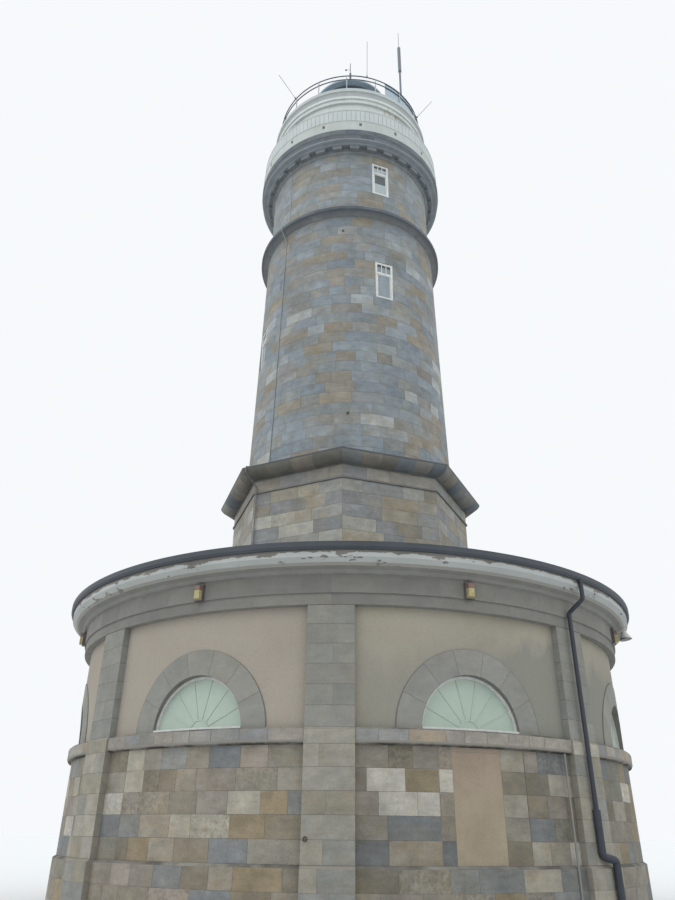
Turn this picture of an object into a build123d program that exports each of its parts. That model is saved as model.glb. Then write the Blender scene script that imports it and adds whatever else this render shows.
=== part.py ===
# Lighthouse: a round single-storey base building, an octagonal tower foot,
# a tapering round shaft and a lantern above two galleries.
# Millimetres, +Z up. The origin is on the tower axis at ground level.
# Angles around the axis start at the front (-Y) and grow towards the right (+X).
import os
from math import cos, radians, sin
from build123d import *

os.makedirs("parts", exist_ok=True)

# Stone courses of the base building
course = 370
base_courses = 5

# Base building: the radii step out from the wall by what each piece stands proud
bay_count = 8
bay_angle = 360 / bay_count
base_inner_radius = 6200
base_wall_thickness = 560
facing_thickness = 220
ashlar_proud = 40
plinth_proud = 110
band_proud = 145
band_rounding = 20
pilaster_proud = 140
pilaster_foot_proud = 175
pilaster_plinth_proud = 230
pilaster_angle = 7.5
floor_thickness = 190
plinth_height = 1160
plinth_chamfer = 40
band_height = 280
panel_height = 2190

# Entablature and eaves of the base building
fascia_proud = 155
fascia_height = 220
frieze_proud = 190
frieze_height = 350
cove_reach = 230
cove_height = 110
corona_reach = 150
corona_drip = 130
corona_height = 265
gutter_reach = 70
gutter_height = 150
gutter_wall = 25
gutter_back = 90

# Low metal roof between the gutter and the tower
roof_rise = 900
roof_thickness = 60
roof_edge_gap = 20
roof_lap = 630

# Half-round windows of the base building
lunette_radius = 1000
arch_width = 480
arch_depth = 300
arch_proud = 15
lunette_frame_width = 50
lunette_frame_depth = 80
lunette_setback = 140
lunette_sill_height = 60
lunette_sill_proud = 12
lunette_sill_gap = 10
glass_thickness = 8

# Doorway at the back
door_width = 1100
door_leaf_height = 2150
door_frame_width = 90
door_frame_depth = 120
door_setback = 250
door_leaf_thickness = 55

# Tower foot with eight sides
octagon_radius = 3500
tower_wall_thickness = 1134
foot_height = 3375
astragal_height = 45
astragal_proud = 40
foot_frieze_height = 345
foot_cornice_height = 240
foot_cornice_overhang = 416
foot_cornice_lip = 45
foot_cornice_fillet = 25
foot_cornice_curve = 400
foot_weathering = 130
weathering_setback = 60

# Round shaft, drawn in with height
shaft_ledge = 104
shaft_middle_draw = 100
shaft_top_draw = 180
shaft_height = 8960

# Ring moulding over the shaft
cordon_overhang = 250
cordon_cove_height = 110
cordon_lip = 120
cordon_weathering = 60

# Watch room wall and the gallery cornice
watch_setback = 80
watch_wall_height = 2750
watch_floor_thickness = 250
bed_mould_proud = 90
bed_mould_height = 25
block_band_proud = 110
block_band_height = 145
block_reach = 130
block_count = 32
block_width = 330
soffit_reach = 60
soffit_fillet = 50
cornice_reach = 200
cornice_face_height = 180
cornice_lip = 35
cornice_lip_height = 250

# White gallery parapet
deck_thickness = 150
parapet_setback = 35
parapet_thickness = 100
parapet_dado_height = 480
parapet_line_height = 40
parapet_line_proud = 18
parapet_panel_height = 530
parapet_panel_depth = 30
parapet_cap_height = 60
parapet_cap_proud = 18
scupper_count = 16
scupper_start = 9
scupper_width = 90
scupper_height = 150
scupper_rise = 90

# White drum under the lantern: plain wall, two bands, a cove and the deck's edge
gallery_width = 405
drum_thickness = 380
drum_wall_height = 1885
drum_lower_band = 170
drum_lower_proud = 85
drum_upper_band = 120
drum_upper_proud = 135
drum_cove_height = 240
drum_cove_foot = 60
drum_cove_reach = 100
drum_cove_steps = 6
deck_edge_height = 180
deck_edge_proud = 170
deck_edge_slope = 25

# Upper railing on the deck of the lantern
rail_setback = 195
rail_tube_radius = 21
rail_heights = (740, 950)
rail_post_count = 16

# Lantern
upper_walk_width = 1480
lantern_wall_thickness = 120
lantern_wall_height = 700
lantern_wall_lip = 30
lantern_glass_height = 1630
lantern_bar_count = 12
lantern_bar_width = 50
lantern_ring_height = 110
lantern_eave_overhang = 250
lantern_eave_height = 80
lantern_roof_rise = 1360
lantern_roof_curve = 2400
lantern_neck_radius = 150
neck_height = 90
ball_radius = 170
rod_radius = 45
rod_height = 1150
spike_radius = 16
spike_height = 690
sensor_rise = 260
sensor_reach = 190
sensor_radius = 40
sensor_angle = 270

# Aerials and screen on the upper railing
mast_angle = 49
mast_radius = 40
mast_gap = 5
mast_height = 2500
sleeve_radius = 65
sleeve_height = 1500
whip_radius = 10
mast_whip_height = 1000
whips = ((15.5, 3, 1950), (314, 53, 1030), (72, 45, 890))
whip_clamp = 50
screen_angle = 31
screen_sweep = 34
screen_thickness = 12
screen_foot = 120

# Wall lamps on the frieze
lamp_width = 190
lamp_height = 330
lamp_depth = 140
lamp_drop = 200
lens_margin = 20

# Bell-shaped lamp under the eaves on the right
bell_angle = 70
bell_arm_length = 260
bell_arm_radius = 25
bell_length = 190
bell_throat_radius = 60
bell_mouth_radius = 145
bell_tilt = 81
bell_drop = 35

# Downpipe on the right-hand front pilaster, with a wider boot at its foot
pipe_radius = 45
pipe_outlet_gap = 8
pipe_gap = 15
pipe_angle = 44.3
pipe_bend = 90
pipe_elbow_drop = 30
pipe_return_drop = 260
boot_radius = 70
boot_height = 910
boot_angle = 47
boot_bend = 75
conduit_angle = 39.3
conduit_radius = 20
conduit_foot = 30

# Lightning conductor on the tower
strap_width = 35
strap_thickness = 14
strap_standoff = 10
conductor_angle = 316.8

# Tower windows
window_width = 600
window_height = 1430
window_setback = 18
window_frame_width = 70
window_frame_depth = 80
window_transom_drop = 390
window_angle = 24.2
shaft_window_rise = 5665
side_window_angle = 114
side_window_rise = 4235
watch_window_rise = 990

# Radii that follow from the sizes above
panel_radius = base_inner_radius + base_wall_thickness
facing_radius = panel_radius - facing_thickness
ashlar_radius = panel_radius + ashlar_proud
plinth_radius = panel_radius + plinth_proud
band_radius = panel_radius + band_proud
pilaster_radius = panel_radius + pilaster_proud
pilaster_foot_radius = panel_radius + pilaster_foot_proud
pilaster_plinth_radius = panel_radius + pilaster_plinth_proud
fascia_radius = panel_radius + fascia_proud
frieze_radius = panel_radius + frieze_proud
cove_radius = frieze_radius + cove_reach
corona_radius = cove_radius + corona_reach
gutter_radius = corona_radius + gutter_reach
flat_ratio = cos(radians(bay_angle / 2))
foot_flat = octagon_radius * flat_ratio
tower_bore_radius = foot_flat - tower_wall_thickness
cornice_flat = foot_flat + foot_cornice_overhang
shaft_foot_radius = foot_flat - shaft_ledge
shaft_middle_radius = shaft_foot_radius - shaft_middle_draw
shaft_top_radius = shaft_foot_radius - shaft_top_draw
cordon_radius = shaft_top_radius + cordon_overhang
watch_radius = shaft_top_radius - watch_setback
bed_mould_radius = watch_radius + bed_mould_proud
block_band_radius = watch_radius + block_band_proud
block_radius = block_band_radius + block_reach
soffit_radius = block_radius + soffit_reach
cornice_radius = soffit_radius + cornice_reach
parapet_radius = cornice_radius - parapet_setback
parapet_inner = parapet_radius - parapet_thickness
drum_radius = parapet_inner - gallery_width
deck_edge_radius = drum_radius + deck_edge_proud
rail_radius = deck_edge_radius - rail_setback
lantern_radius = rail_radius - upper_walk_width
lantern_eave_radius = lantern_radius + lantern_eave_overhang

# Levels that follow from the sizes above
band_bottom = plinth_height + base_courses * course
band_top = band_bottom + band_height
wall_top = band_top + panel_height
fascia_top = wall_top + fascia_height
frieze_top = fascia_top + frieze_height
cove_top = frieze_top + cove_height
corona_top = cove_top + corona_height
gutter_top = corona_top + gutter_height
foot_top = corona_top + foot_height
foot_cornice_bottom = foot_top + astragal_height + foot_frieze_height
foot_cornice_top = foot_cornice_bottom + foot_cornice_height + foot_cornice_lip
shaft_bottom = foot_cornice_top + foot_weathering
shaft_top = shaft_bottom + shaft_height
cordon_lip_bottom = shaft_top + cordon_cove_height
cordon_lip_top = cordon_lip_bottom + cordon_lip
cordon_top = cordon_lip_top + cordon_weathering
watch_wall_top = cordon_top + watch_wall_height
block_bottom = watch_wall_top + bed_mould_height
block_top = block_bottom + block_band_height
soffit_level = block_top + soffit_fillet
cornice_top = soffit_level + cornice_face_height + cornice_lip_height
deck_top = cornice_top + deck_thickness
drum_lower_level = deck_top + drum_wall_height
drum_upper_level = drum_lower_level + drum_lower_band
drum_cove_level = drum_upper_level + drum_upper_band
drum_top = drum_cove_level + drum_cove_height
upper_deck_top = drum_top + deck_edge_height
lantern_glass_bottom = upper_deck_top + lantern_wall_height
lantern_glass_top = lantern_glass_bottom + lantern_glass_height
eave_level = lantern_glass_top + lantern_ring_height
eave_top = eave_level + lantern_eave_height
roof_top = eave_top + lantern_roof_rise
neck_top = roof_top + neck_height


def outward(angle):
    """Unit vector that points away from the axis at an angle from the front."""
    return Vector(sin(radians(angle)), -cos(radians(angle)), 0)


def radial_plane(angle):
    """Upright plane through the axis: x away from the axis, y up."""
    out = outward(angle)
    return Plane(origin=(0, 0, 0), x_dir=out, z_dir=out.cross(Vector(0, 0, 1)))


def wall_plane(angle, distance, height):
    """Upright plane that faces outward: x along the wall, y up."""
    out = outward(angle)
    place = out * distance + Vector(0, 0, height)
    return Plane(origin=place, x_dir=Vector(0, 0, 1).cross(out), z_dir=out)


def ring_part(points, start=0, sweep=360):
    """Turned piece from (radius, height) points, over part of a circle."""
    with BuildPart() as turned:
        with BuildSketch(radial_plane(start)):
            with BuildLine():
                Polyline(*points, close=True)
            make_face()
        revolve(axis=Axis.Z, revolution_arc=sweep)
    return turned.part


def octagon_face(flat, angle):
    """Distance from the axis to a side of the octagon, seen along an angle."""
    return flat / cos(radians(angle % bay_angle - bay_angle / 2))


def shaft_radius(height):
    """Radius of the shaft between its middle and its top, or over them in line."""
    middle = (shaft_bottom + shaft_top) / 2
    share = (height - middle) / (shaft_top - middle)
    return shaft_middle_radius + (shaft_top_radius - shaft_middle_radius) * share


def half_disc(radius):
    """Half-round sketch with its straight side on the x axis."""
    with BuildSketch() as half:
        Circle(radius)
        Rectangle(3 * radius, 2 * radius, align=(Align.CENTER, Align.MAX), mode=Mode.SUBTRACT)
    return half.sketch


def keep(node, name):
    """Label a piece and write it as its own file."""
    node.part.label = name
    export_step(node.part, f"parts/{name}.step")


# Base building
bay_names = {
    22.5: "front_right",
    67.5: "right_front",
    112.5: "right_back",
    157.5: "back_right",
    202.5: "back_left",
    247.5: "left_back",
    292.5: "left_front",
    337.5: "front_left",
}
door_bay = 202.5

# Floor slab inside the round wall, on which the tower foot stands
with BuildPart() as ground_floor:
    with BuildSketch():
        Circle(base_inner_radius)
    extrude(amount=floor_thickness)
keep(ground_floor, "ground_floor")

# Round wall in eight bays: coursed ashlar below, a rounded string course,
# and a recessed plaster panel above with a half-round window
face_points = [
    (facing_radius, 0),
    (plinth_radius, 0),
    (plinth_radius, plinth_height - plinth_chamfer),
    (ashlar_radius, plinth_height),
    (ashlar_radius, band_bottom),
    (band_radius - band_rounding, band_bottom + band_rounding),
    (band_radius, band_bottom + 3 * band_rounding),
    (band_radius, band_top - band_rounding),
    (band_radius - band_rounding, band_top),
    (panel_radius, band_top),
    (panel_radius, wall_top),
    (facing_radius, wall_top),
]
core_points = [
    (base_inner_radius, 0),
    (facing_radius, 0),
    (facing_radius, wall_top),
    (base_inner_radius, wall_top),
]
cut_start = base_inner_radius - base_wall_thickness
cut_depth = 2 * base_wall_thickness + 2 * pilaster_plinth_proud
for angle, bay in bay_names.items():
    with BuildPart() as base_wall:
        add(ring_part(core_points, angle - bay_angle / 2, bay_angle))
        add(ring_part(face_points, angle - bay_angle / 2 + pilaster_angle / 2,
                      bay_angle - pilaster_angle))
        # Opening of the half-round window and the seat of its stone arch
        with BuildSketch(wall_plane(angle, cut_start, band_top)):
            add(half_disc(lunette_radius))
        extrude(amount=cut_depth, mode=Mode.SUBTRACT)
        with BuildSketch(wall_plane(angle, panel_radius - arch_depth, band_top)):
            add(half_disc(lunette_radius + arch_width))
        extrude(amount=2 * arch_depth, mode=Mode.SUBTRACT)
        if angle == door_bay:
            with BuildSketch(wall_plane(angle, cut_start, floor_thickness)):
                Rectangle(door_width, band_bottom - floor_thickness,
                          align=(Align.CENTER, Align.MIN))
            extrude(amount=cut_depth, mode=Mode.SUBTRACT)
    keep(base_wall, f"base_wall_{bay}")

# Pilasters of smooth stone, bonded into the wall at each joint of two bays
pilaster_points = [
    (facing_radius, 0),
    (pilaster_plinth_radius, 0),
    (pilaster_plinth_radius, plinth_height - plinth_chamfer),
    (pilaster_foot_radius, plinth_height),
    (pilaster_foot_radius, band_top - plinth_chamfer),
    (pilaster_radius, band_top),
    (pilaster_radius, wall_top),
    (facing_radius, wall_top),
]
with BuildPart() as pilasters:
    for index in range(bay_count):
        add(ring_part(pilaster_points, index * bay_angle - pilaster_angle / 2, pilaster_angle))
keep(pilasters, "pilasters")

# Flat stone arches around the half-round windows, their faces curved with the wall
arch_sector = 30
arch_top = band_top + lunette_radius + arch_width
arch_block = [
    (panel_radius - 2 * arch_depth, band_top),
    (panel_radius + arch_proud, band_top),
    (panel_radius + arch_proud, arch_top + arch_width),
    (panel_radius - 2 * arch_depth, arch_top + arch_width),
]
with BuildPart() as window_arches:
    for angle in bay_names:
        with BuildPart(mode=Mode.PRIVATE) as one_arch:
            add(ring_part(arch_block, angle - arch_sector / 2, arch_sector))
            with BuildSketch(wall_plane(angle, panel_radius - arch_depth, band_top)):
                add(half_disc(lunette_radius + arch_width))
                add(half_disc(lunette_radius), mode=Mode.SUBTRACT)
            extrude(amount=2 * arch_depth, mode=Mode.INTERSECT)
        add(one_arch.part)
keep(window_arches, "window_arches")

# White half-round window frames, each with a sill board out to the face of the wall
frame_face = panel_radius - lunette_setback
sill_face = panel_radius + lunette_sill_proud
sill_width = 2 * lunette_radius - 2 * lunette_sill_gap
with BuildSketch() as light:
    Circle(lunette_radius - lunette_frame_width)
    Rectangle(3 * lunette_radius, 2 * lunette_radius,
              align=(Align.CENTER, Align.MAX), mode=Mode.SUBTRACT)
    Rectangle(3 * lunette_radius, 2 * lunette_sill_height, mode=Mode.SUBTRACT)
sill_points = [
    (frame_face - lunette_frame_depth - arch_depth, band_top),
    (sill_face, band_top),
    (sill_face, band_top + lunette_sill_height - lunette_sill_gap),
    (sill_face - lunette_setback, band_top + lunette_sill_height),
    (frame_face - lunette_frame_depth - arch_depth, band_top + lunette_sill_height),
]
with BuildPart() as lunette_frames:
    for angle in bay_names:
        with BuildPart(mode=Mode.PRIVATE) as one_sill:
            add(ring_part(sill_points, angle - arch_sector / 2, arch_sector))
            with BuildSketch(wall_plane(angle, frame_face - lunette_frame_depth, band_top)):
                Rectangle(sill_width, 2 * lunette_sill_height)
            extrude(amount=2 * arch_depth, mode=Mode.INTERSECT)
        add(one_sill.part)
        with BuildSketch(wall_plane(angle, frame_face - lunette_frame_depth, band_top)):
            add(half_disc(lunette_radius))
            add(light.sketch, mode=Mode.SUBTRACT)
        extrude(amount=lunette_frame_depth)
keep(lunette_frames, "lunette_frames")

with BuildPart() as lunette_glass:
    for angle in bay_names:
        glass_place = wall_plane(angle, frame_face - lunette_frame_depth / 2, band_top)
        with BuildSketch(glass_place):
            add(light.sketch)
        extrude(amount=glass_thickness / 2, both=True)
keep(lunette_glass, "lunette_glass")

# Stone fascia, frieze and cove around the head of the wall
with BuildPart() as entablature:
    add(ring_part([
        (base_inner_radius, wall_top),
        (fascia_radius, wall_top),
        (fascia_radius, fascia_top),
        (frieze_radius, fascia_top),
        (frieze_radius, frieze_top),
        (frieze_radius + cove_reach / 4, frieze_top + cove_height / 6),
        (frieze_radius + cove_reach / 2, cove_top - cove_height / 3),
        (cove_radius, cove_top),
        (base_inner_radius, cove_top),
    ]))
keep(entablature, "entablature")

# Painted eaves board and the dark gutter in front of the roof edge
with BuildPart() as eaves:
    add(ring_part([
        (base_inner_radius, cove_top),
        (cove_radius, cove_top),
        (cove_radius + corona_reach / 2, cove_top + corona_drip / 2),
        (corona_radius, cove_top + corona_drip),
        (corona_radius, corona_top),
        (base_inner_radius, corona_top),
    ]))
keep(eaves, "eaves")

gutter_heel = corona_radius - gutter_back
with BuildPart() as gutter:
    add(ring_part([
        (gutter_heel, corona_top),
        (corona_radius + gutter_reach / 2, corona_top),
        (gutter_radius, corona_top + gutter_height / 3),
        (gutter_radius, gutter_top),
        (gutter_radius - gutter_wall, gutter_top),
        (gutter_radius - gutter_wall, corona_top + gutter_height / 2),
        (corona_radius, corona_top + gutter_wall),
        (gutter_heel + gutter_wall, corona_top + gutter_wall),
        (gutter_heel + gutter_wall, gutter_top),
        (gutter_heel, gutter_top),
    ]))
keep(gutter, "gutter")

# Low metal roof from the gutter up to the tower foot
roof_edge = gutter_heel - roof_edge_gap
roof_inner = foot_flat - roof_lap
with BuildPart() as base_roof:
    add(ring_part([
        (roof_inner, corona_top + roof_rise),
        (roof_edge, corona_top),
        (roof_edge, corona_top + roof_thickness),
        (roof_inner, corona_top + roof_rise + roof_thickness),
    ]))
    with BuildSketch(Plane.XY.offset(corona_top)):
        RegularPolygon(octagon_radius, bay_count, rotation=-90)
    extrude(amount=2 * roof_rise, mode=Mode.SUBTRACT)
keep(base_roof, "base_roof")

# Tower foot: eight-sided stone wall around a round stair well, in four quarters
quarter_names = {0: "front", 90: "right", 180: "back", 270: "left"}


def wedge(angle, sweep, bottom, top):
    """Slice of a wide cylinder, used to keep one sector of a ring."""
    reach = 2 * octagon_radius
    return ring_part([(0, bottom), (reach, bottom), (reach, top), (0, top)],
                     angle - sweep / 2, sweep)


for angle, side in quarter_names.items():
    with BuildPart() as tower_foot:
        with BuildSketch(Plane.XY.offset(floor_thickness)):
            RegularPolygon(octagon_radius, bay_count, rotation=-90)
            Circle(tower_bore_radius, mode=Mode.SUBTRACT)
        extrude(amount=foot_top - floor_thickness)
        add(wedge(angle, 90, floor_thickness, foot_top), mode=Mode.INTERSECT)
        if side == "back":
            with BuildSketch(wall_plane(door_bay, 0, floor_thickness)):
                Rectangle(door_width, door_leaf_height, align=(Align.CENTER, Align.MIN))
            extrude(amount=2 * octagon_radius, mode=Mode.SUBTRACT)
    keep(tower_foot, f"tower_foot_{side}")

# Eight-sided frieze course and rounded cornice over the tower foot: the section of
# one side is drawn, cut to its sector at the corners and repeated
cornice_seat = tower_bore_radius / 2
with BuildPart() as foot_side:
    with BuildSketch(radial_plane(bay_angle / 2)):
        with BuildLine():
            Polyline(
                (foot_flat + foot_cornice_fillet, foot_cornice_bottom + foot_cornice_fillet),
                (foot_flat + foot_cornice_fillet, foot_cornice_bottom),
                (foot_flat, foot_cornice_bottom),
                (foot_flat, foot_top + astragal_height),
                (foot_flat + astragal_proud, foot_top + astragal_height),
                (foot_flat + astragal_proud, foot_top),
                (cornice_seat, foot_top),
                (cornice_seat, shaft_bottom),
                (shaft_foot_radius + weathering_setback, shaft_bottom),
                (cornice_flat, foot_cornice_top),
                (cornice_flat, foot_cornice_top - foot_cornice_lip),
            )
            RadiusArc((cornice_flat, foot_cornice_top - foot_cornice_lip),
                      (foot_flat + foot_cornice_fillet, foot_cornice_bottom + foot_cornice_fillet),
                      foot_cornice_curve)
        make_face()
    extrude(amount=octagon_radius, both=True)
    add(wedge(bay_angle / 2, bay_angle, foot_top - astragal_height,
              shaft_bottom + astragal_height), mode=Mode.INTERSECT)
with BuildPart() as foot_cornice:
    with PolarLocations(0, bay_count):
        add(foot_side.part)
    with BuildSketch(Plane.XY.offset(foot_top)):
        Circle(tower_bore_radius)
    extrude(amount=shaft_bottom - foot_top, mode=Mode.SUBTRACT)
keep(foot_cornice, "foot_cornice")

# Round shaft with a slight inward curve, in four quarters
shaft_window_sill = shaft_bottom + shaft_window_rise
side_window_sill = shaft_bottom + side_window_rise
watch_window_sill = cordon_top + watch_window_rise
shaft_windows = {
    0: (window_angle, shaft_window_sill),
    90: (side_window_angle, side_window_sill),
    180: (180 + window_angle, shaft_window_sill),
    270: (180 + side_window_angle, side_window_sill),
}
watch_windows = (window_angle, 180 + window_angle)
for angle, side in quarter_names.items():
    window_at, sill = shaft_windows[angle]
    with BuildPart() as shaft:
        with BuildSketch(radial_plane(angle - 45)):
            with BuildLine():
                Polyline(
                    (shaft_top_radius, shaft_top),
                    (tower_bore_radius, shaft_top),
                    (tower_bore_radius, shaft_bottom),
                    (shaft_foot_radius, shaft_bottom),
                )
                Spline((shaft_foot_radius, shaft_bottom),
                       (shaft_middle_radius, (shaft_bottom + shaft_top) / 2),
                       (shaft_top_radius, shaft_top))
            make_face()
        revolve(axis=Axis.Z, revolution_arc=90)
        with BuildSketch(wall_plane(window_at, tower_bore_radius / 2, sill)):
            Rectangle(window_width, window_height, align=(Align.CENTER, Align.MIN))
        extrude(amount=octagon_radius, mode=Mode.SUBTRACT)
    keep(shaft, f"shaft_{side}")

# Ring moulding between the shaft and the watch room: a cove, a square lip, a weathered top
with BuildPart() as cordon:
    with BuildSketch(radial_plane(0)):
        with BuildLine():
            Polyline(
                (cordon_radius, cordon_lip_bottom),
                (cordon_radius, cordon_lip_top),
                (watch_radius, cordon_top),
                (tower_bore_radius, cordon_top),
                (tower_bore_radius, shaft_top),
                (shaft_top_radius, shaft_top),
            )
            RadiusArc((shaft_top_radius, shaft_top),
                      (cordon_radius, cordon_lip_bottom), -2 * cordon_overhang)
        make_face()
    revolve(axis=Axis.Z)
keep(cordon, "cordon")

# Floor of the watch room
with BuildPart() as watch_room_floor:
    with BuildSketch(Plane.XY.offset(cordon_top - watch_floor_thickness)):
        Circle(tower_bore_radius)
    extrude(amount=watch_floor_thickness)
keep(watch_room_floor, "watch_room_floor")

# Watch room wall in two halves, each with one window
for start, side, window_at in ((-90, "front", window_angle), (90, "back", 180 + window_angle)):
    with BuildPart() as watch_wall:
        add(ring_part([
            (tower_bore_radius, cordon_top),
            (watch_radius, cordon_top),
            (watch_radius, watch_wall_top),
            (tower_bore_radius, watch_wall_top),
        ], start, 180))
        with BuildSketch(wall_plane(window_at, tower_bore_radius / 2, watch_window_sill)):
            Rectangle(window_width, window_height, align=(Align.CENTER, Align.MIN))
        extrude(amount=octagon_radius, mode=Mode.SUBTRACT)
    keep(watch_wall, f"watch_room_wall_{side}")

# Gallery cornice with its row of blocks under a flat soffit
with BuildPart() as gallery_cornice:
    add(ring_part([
        (tower_bore_radius, watch_wall_top),
        (bed_mould_radius, watch_wall_top),
        (bed_mould_radius, block_bottom),
        (block_band_radius, block_bottom),
        (block_band_radius, block_top),
        (block_radius, block_top),
        (soffit_radius, soffit_level),
        (cornice_radius - cornice_lip, soffit_level),
        (cornice_radius - cornice_lip, soffit_level + cornice_face_height),
        (cornice_radius, soffit_level + cornice_face_height + cornice_lip),
        (cornice_radius, cornice_top),
        (tower_bore_radius, cornice_top),
    ]))
keep(gallery_cornice, "gallery_cornice")

block_turn = 180 / block_count
with BuildPart() as cornice_blocks:
    with BuildPart(mode=Mode.PRIVATE) as one_block:
        with BuildSketch(wall_plane(0, block_band_radius - block_reach, block_bottom)):
            Rectangle(block_width, block_band_height, align=(Align.CENTER, Align.MIN))
        extrude(amount=2 * block_reach)
        with BuildSketch(Plane.XY.offset(block_bottom)):
            Circle(block_band_radius)
        extrude(amount=block_band_height, mode=Mode.SUBTRACT)
    with PolarLocations(0, block_count, start_angle=block_turn):
        add(one_block.part)
keep(cornice_blocks, "cornice_blocks")

# Gallery deck and its white parapet
with BuildPart() as gallery_deck:
    with BuildSketch(Plane.XY.offset(cornice_top)):
        Circle(parapet_inner)
    extrude(amount=deck_thickness)
keep(gallery_deck, "gallery_deck")

line_bottom = cornice_top + parapet_dado_height
line_top = line_bottom + parapet_line_height
cap_bottom = line_top + parapet_panel_height
cap_top = cap_bottom + parapet_cap_height
panel_face = parapet_radius - parapet_panel_depth
with BuildPart() as gallery_parapet:
    add(ring_part([
        (parapet_inner, cornice_top),
        (parapet_radius, cornice_top),
        (parapet_radius, line_bottom),
        (parapet_radius + parapet_line_proud, line_bottom + parapet_line_height / 3),
        (parapet_radius, line_top),
        (panel_face, line_top),
        (panel_face, cap_bottom),
        (panel_face + parapet_cap_proud, cap_bottom + parapet_cap_height / 3),
        (panel_face + parapet_cap_proud, cap_top),
        (parapet_inner - parapet_cap_proud, cap_top),
        (parapet_inner - parapet_cap_proud, cap_bottom),
        (parapet_inner, cap_bottom),
    ]))
    # Drain holes through the foot of the parapet, a little above the deck
    with BuildSketch(Plane.XY.offset(deck_top + scupper_rise)):
        with PolarLocations(parapet_radius, scupper_count, start_angle=scupper_start - 90):
            Rectangle(4 * parapet_thickness, scupper_width)
    extrude(amount=scupper_height, mode=Mode.SUBTRACT)
keep(gallery_parapet, "gallery_parapet")

# White drum with two bands and a hollow cove under the deck of the lantern
cove_turns = [90 * step / drum_cove_steps for step in range(drum_cove_steps + 1)]
cove_points = [(drum_radius + drum_cove_foot + drum_cove_reach * (1 - cos(radians(turn))),
                drum_cove_level + drum_cove_height * sin(radians(turn)))
               for turn in cove_turns]
with BuildPart() as lantern_drum:
    add(ring_part([
        (drum_radius - drum_thickness, deck_top),
        (drum_radius, deck_top),
        (drum_radius, drum_lower_level),
        (drum_radius + drum_lower_proud, drum_lower_level),
        (drum_radius + drum_lower_proud, drum_upper_level),
        (drum_radius + drum_upper_proud, drum_upper_level),
        (drum_radius + drum_upper_proud, drum_cove_level),
        *cove_points,
        (drum_radius - drum_thickness, drum_top),
    ]))
keep(lantern_drum, "lantern_drum")

with BuildPart() as upper_deck:
    add(ring_part([
        (0, drum_top),
        (deck_edge_radius, drum_top),
        (deck_edge_radius, upper_deck_top - deck_edge_slope),
        (deck_edge_radius - deck_edge_slope, upper_deck_top),
        (0, upper_deck_top),
    ]))
keep(upper_deck, "upper_deck")

# Railing around the upper deck: posts and two rings of tube
with BuildPart() as upper_railing:
    for height in rail_heights:
        with BuildSketch(radial_plane(0)):
            with Locations((rail_radius, upper_deck_top + height)):
                Circle(rail_tube_radius)
        revolve(axis=Axis.Z)
    with BuildSketch(Plane.XY.offset(upper_deck_top)):
        with PolarLocations(rail_radius, rail_post_count):
            Rectangle(1.6 * rail_tube_radius, 1.6 * rail_tube_radius)
    extrude(amount=rail_heights[-1])
keep(upper_railing, "upper_railing")

# Lantern: low wall, glazed drum with upright bars, roof with ball and spike
with BuildPart() as lantern_wall:
    add(ring_part([
        (lantern_radius - lantern_wall_thickness, upper_deck_top),
        (lantern_radius + lantern_wall_lip, upper_deck_top),
        (lantern_radius + lantern_wall_lip, upper_deck_top + 3 * lantern_wall_lip),
        (lantern_radius, upper_deck_top + 4 * lantern_wall_lip),
        (lantern_radius, lantern_glass_bottom - 2 * lantern_wall_lip),
        (lantern_radius + lantern_wall_lip, lantern_glass_bottom - lantern_wall_lip),
        (lantern_radius + lantern_wall_lip, lantern_glass_bottom),
        (lantern_radius - lantern_wall_thickness, lantern_glass_bottom),
    ]))
keep(lantern_wall, "lantern_wall")

lantern_glass_radius = lantern_radius - lantern_bar_width / 2
with BuildPart() as lantern_bars:
    with BuildSketch(Plane.XY.offset(lantern_glass_bottom)):
        with PolarLocations(lantern_glass_radius, lantern_bar_count):
            Rectangle(lantern_bar_width, 0.7 * lantern_bar_width)
    extrude(amount=lantern_glass_height)
    add(ring_part([
        (lantern_radius - 2 * lantern_bar_width, lantern_glass_top),
        (lantern_radius + lantern_bar_width / 2, lantern_glass_top),
        (lantern_radius + lantern_bar_width / 2, eave_level),
        (lantern_radius - 2 * lantern_bar_width, eave_level),
    ]))
keep(lantern_bars, "lantern_bars")

# Flat panes, each between two bars
pane_middle = lantern_glass_radius * cos(radians(180 / lantern_bar_count))
pane_width = 2 * lantern_glass_radius * sin(radians(180 / lantern_bar_count)) - lantern_bar_width
with BuildPart() as lantern_glass:
    for index in range(lantern_bar_count):
        pane_angle = (index + 0.5) * 360 / lantern_bar_count
        with BuildSketch(wall_plane(pane_angle, pane_middle, lantern_glass_bottom)):
            Rectangle(pane_width, lantern_glass_height, align=(Align.CENTER, Align.MIN))
        extrude(amount=glass_thickness / 2, both=True)
keep(lantern_glass, "lantern_glass")

with BuildPart() as lantern_roof:
    with BuildSketch(radial_plane(0)):
        with BuildLine():
            Polyline(
                (lantern_neck_radius, roof_top),
                (0, roof_top),
                (0, eave_level),
                (lantern_eave_radius, eave_level),
                (lantern_eave_radius, eave_top),
                (lantern_eave_radius - lantern_eave_height, eave_top),
            )
            RadiusArc((lantern_eave_radius - lantern_eave_height, eave_top),
                      (lantern_neck_radius, roof_top), -lantern_roof_curve)
        make_face()
    revolve(axis=Axis.Z)
keep(lantern_roof, "lantern_roof")

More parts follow.
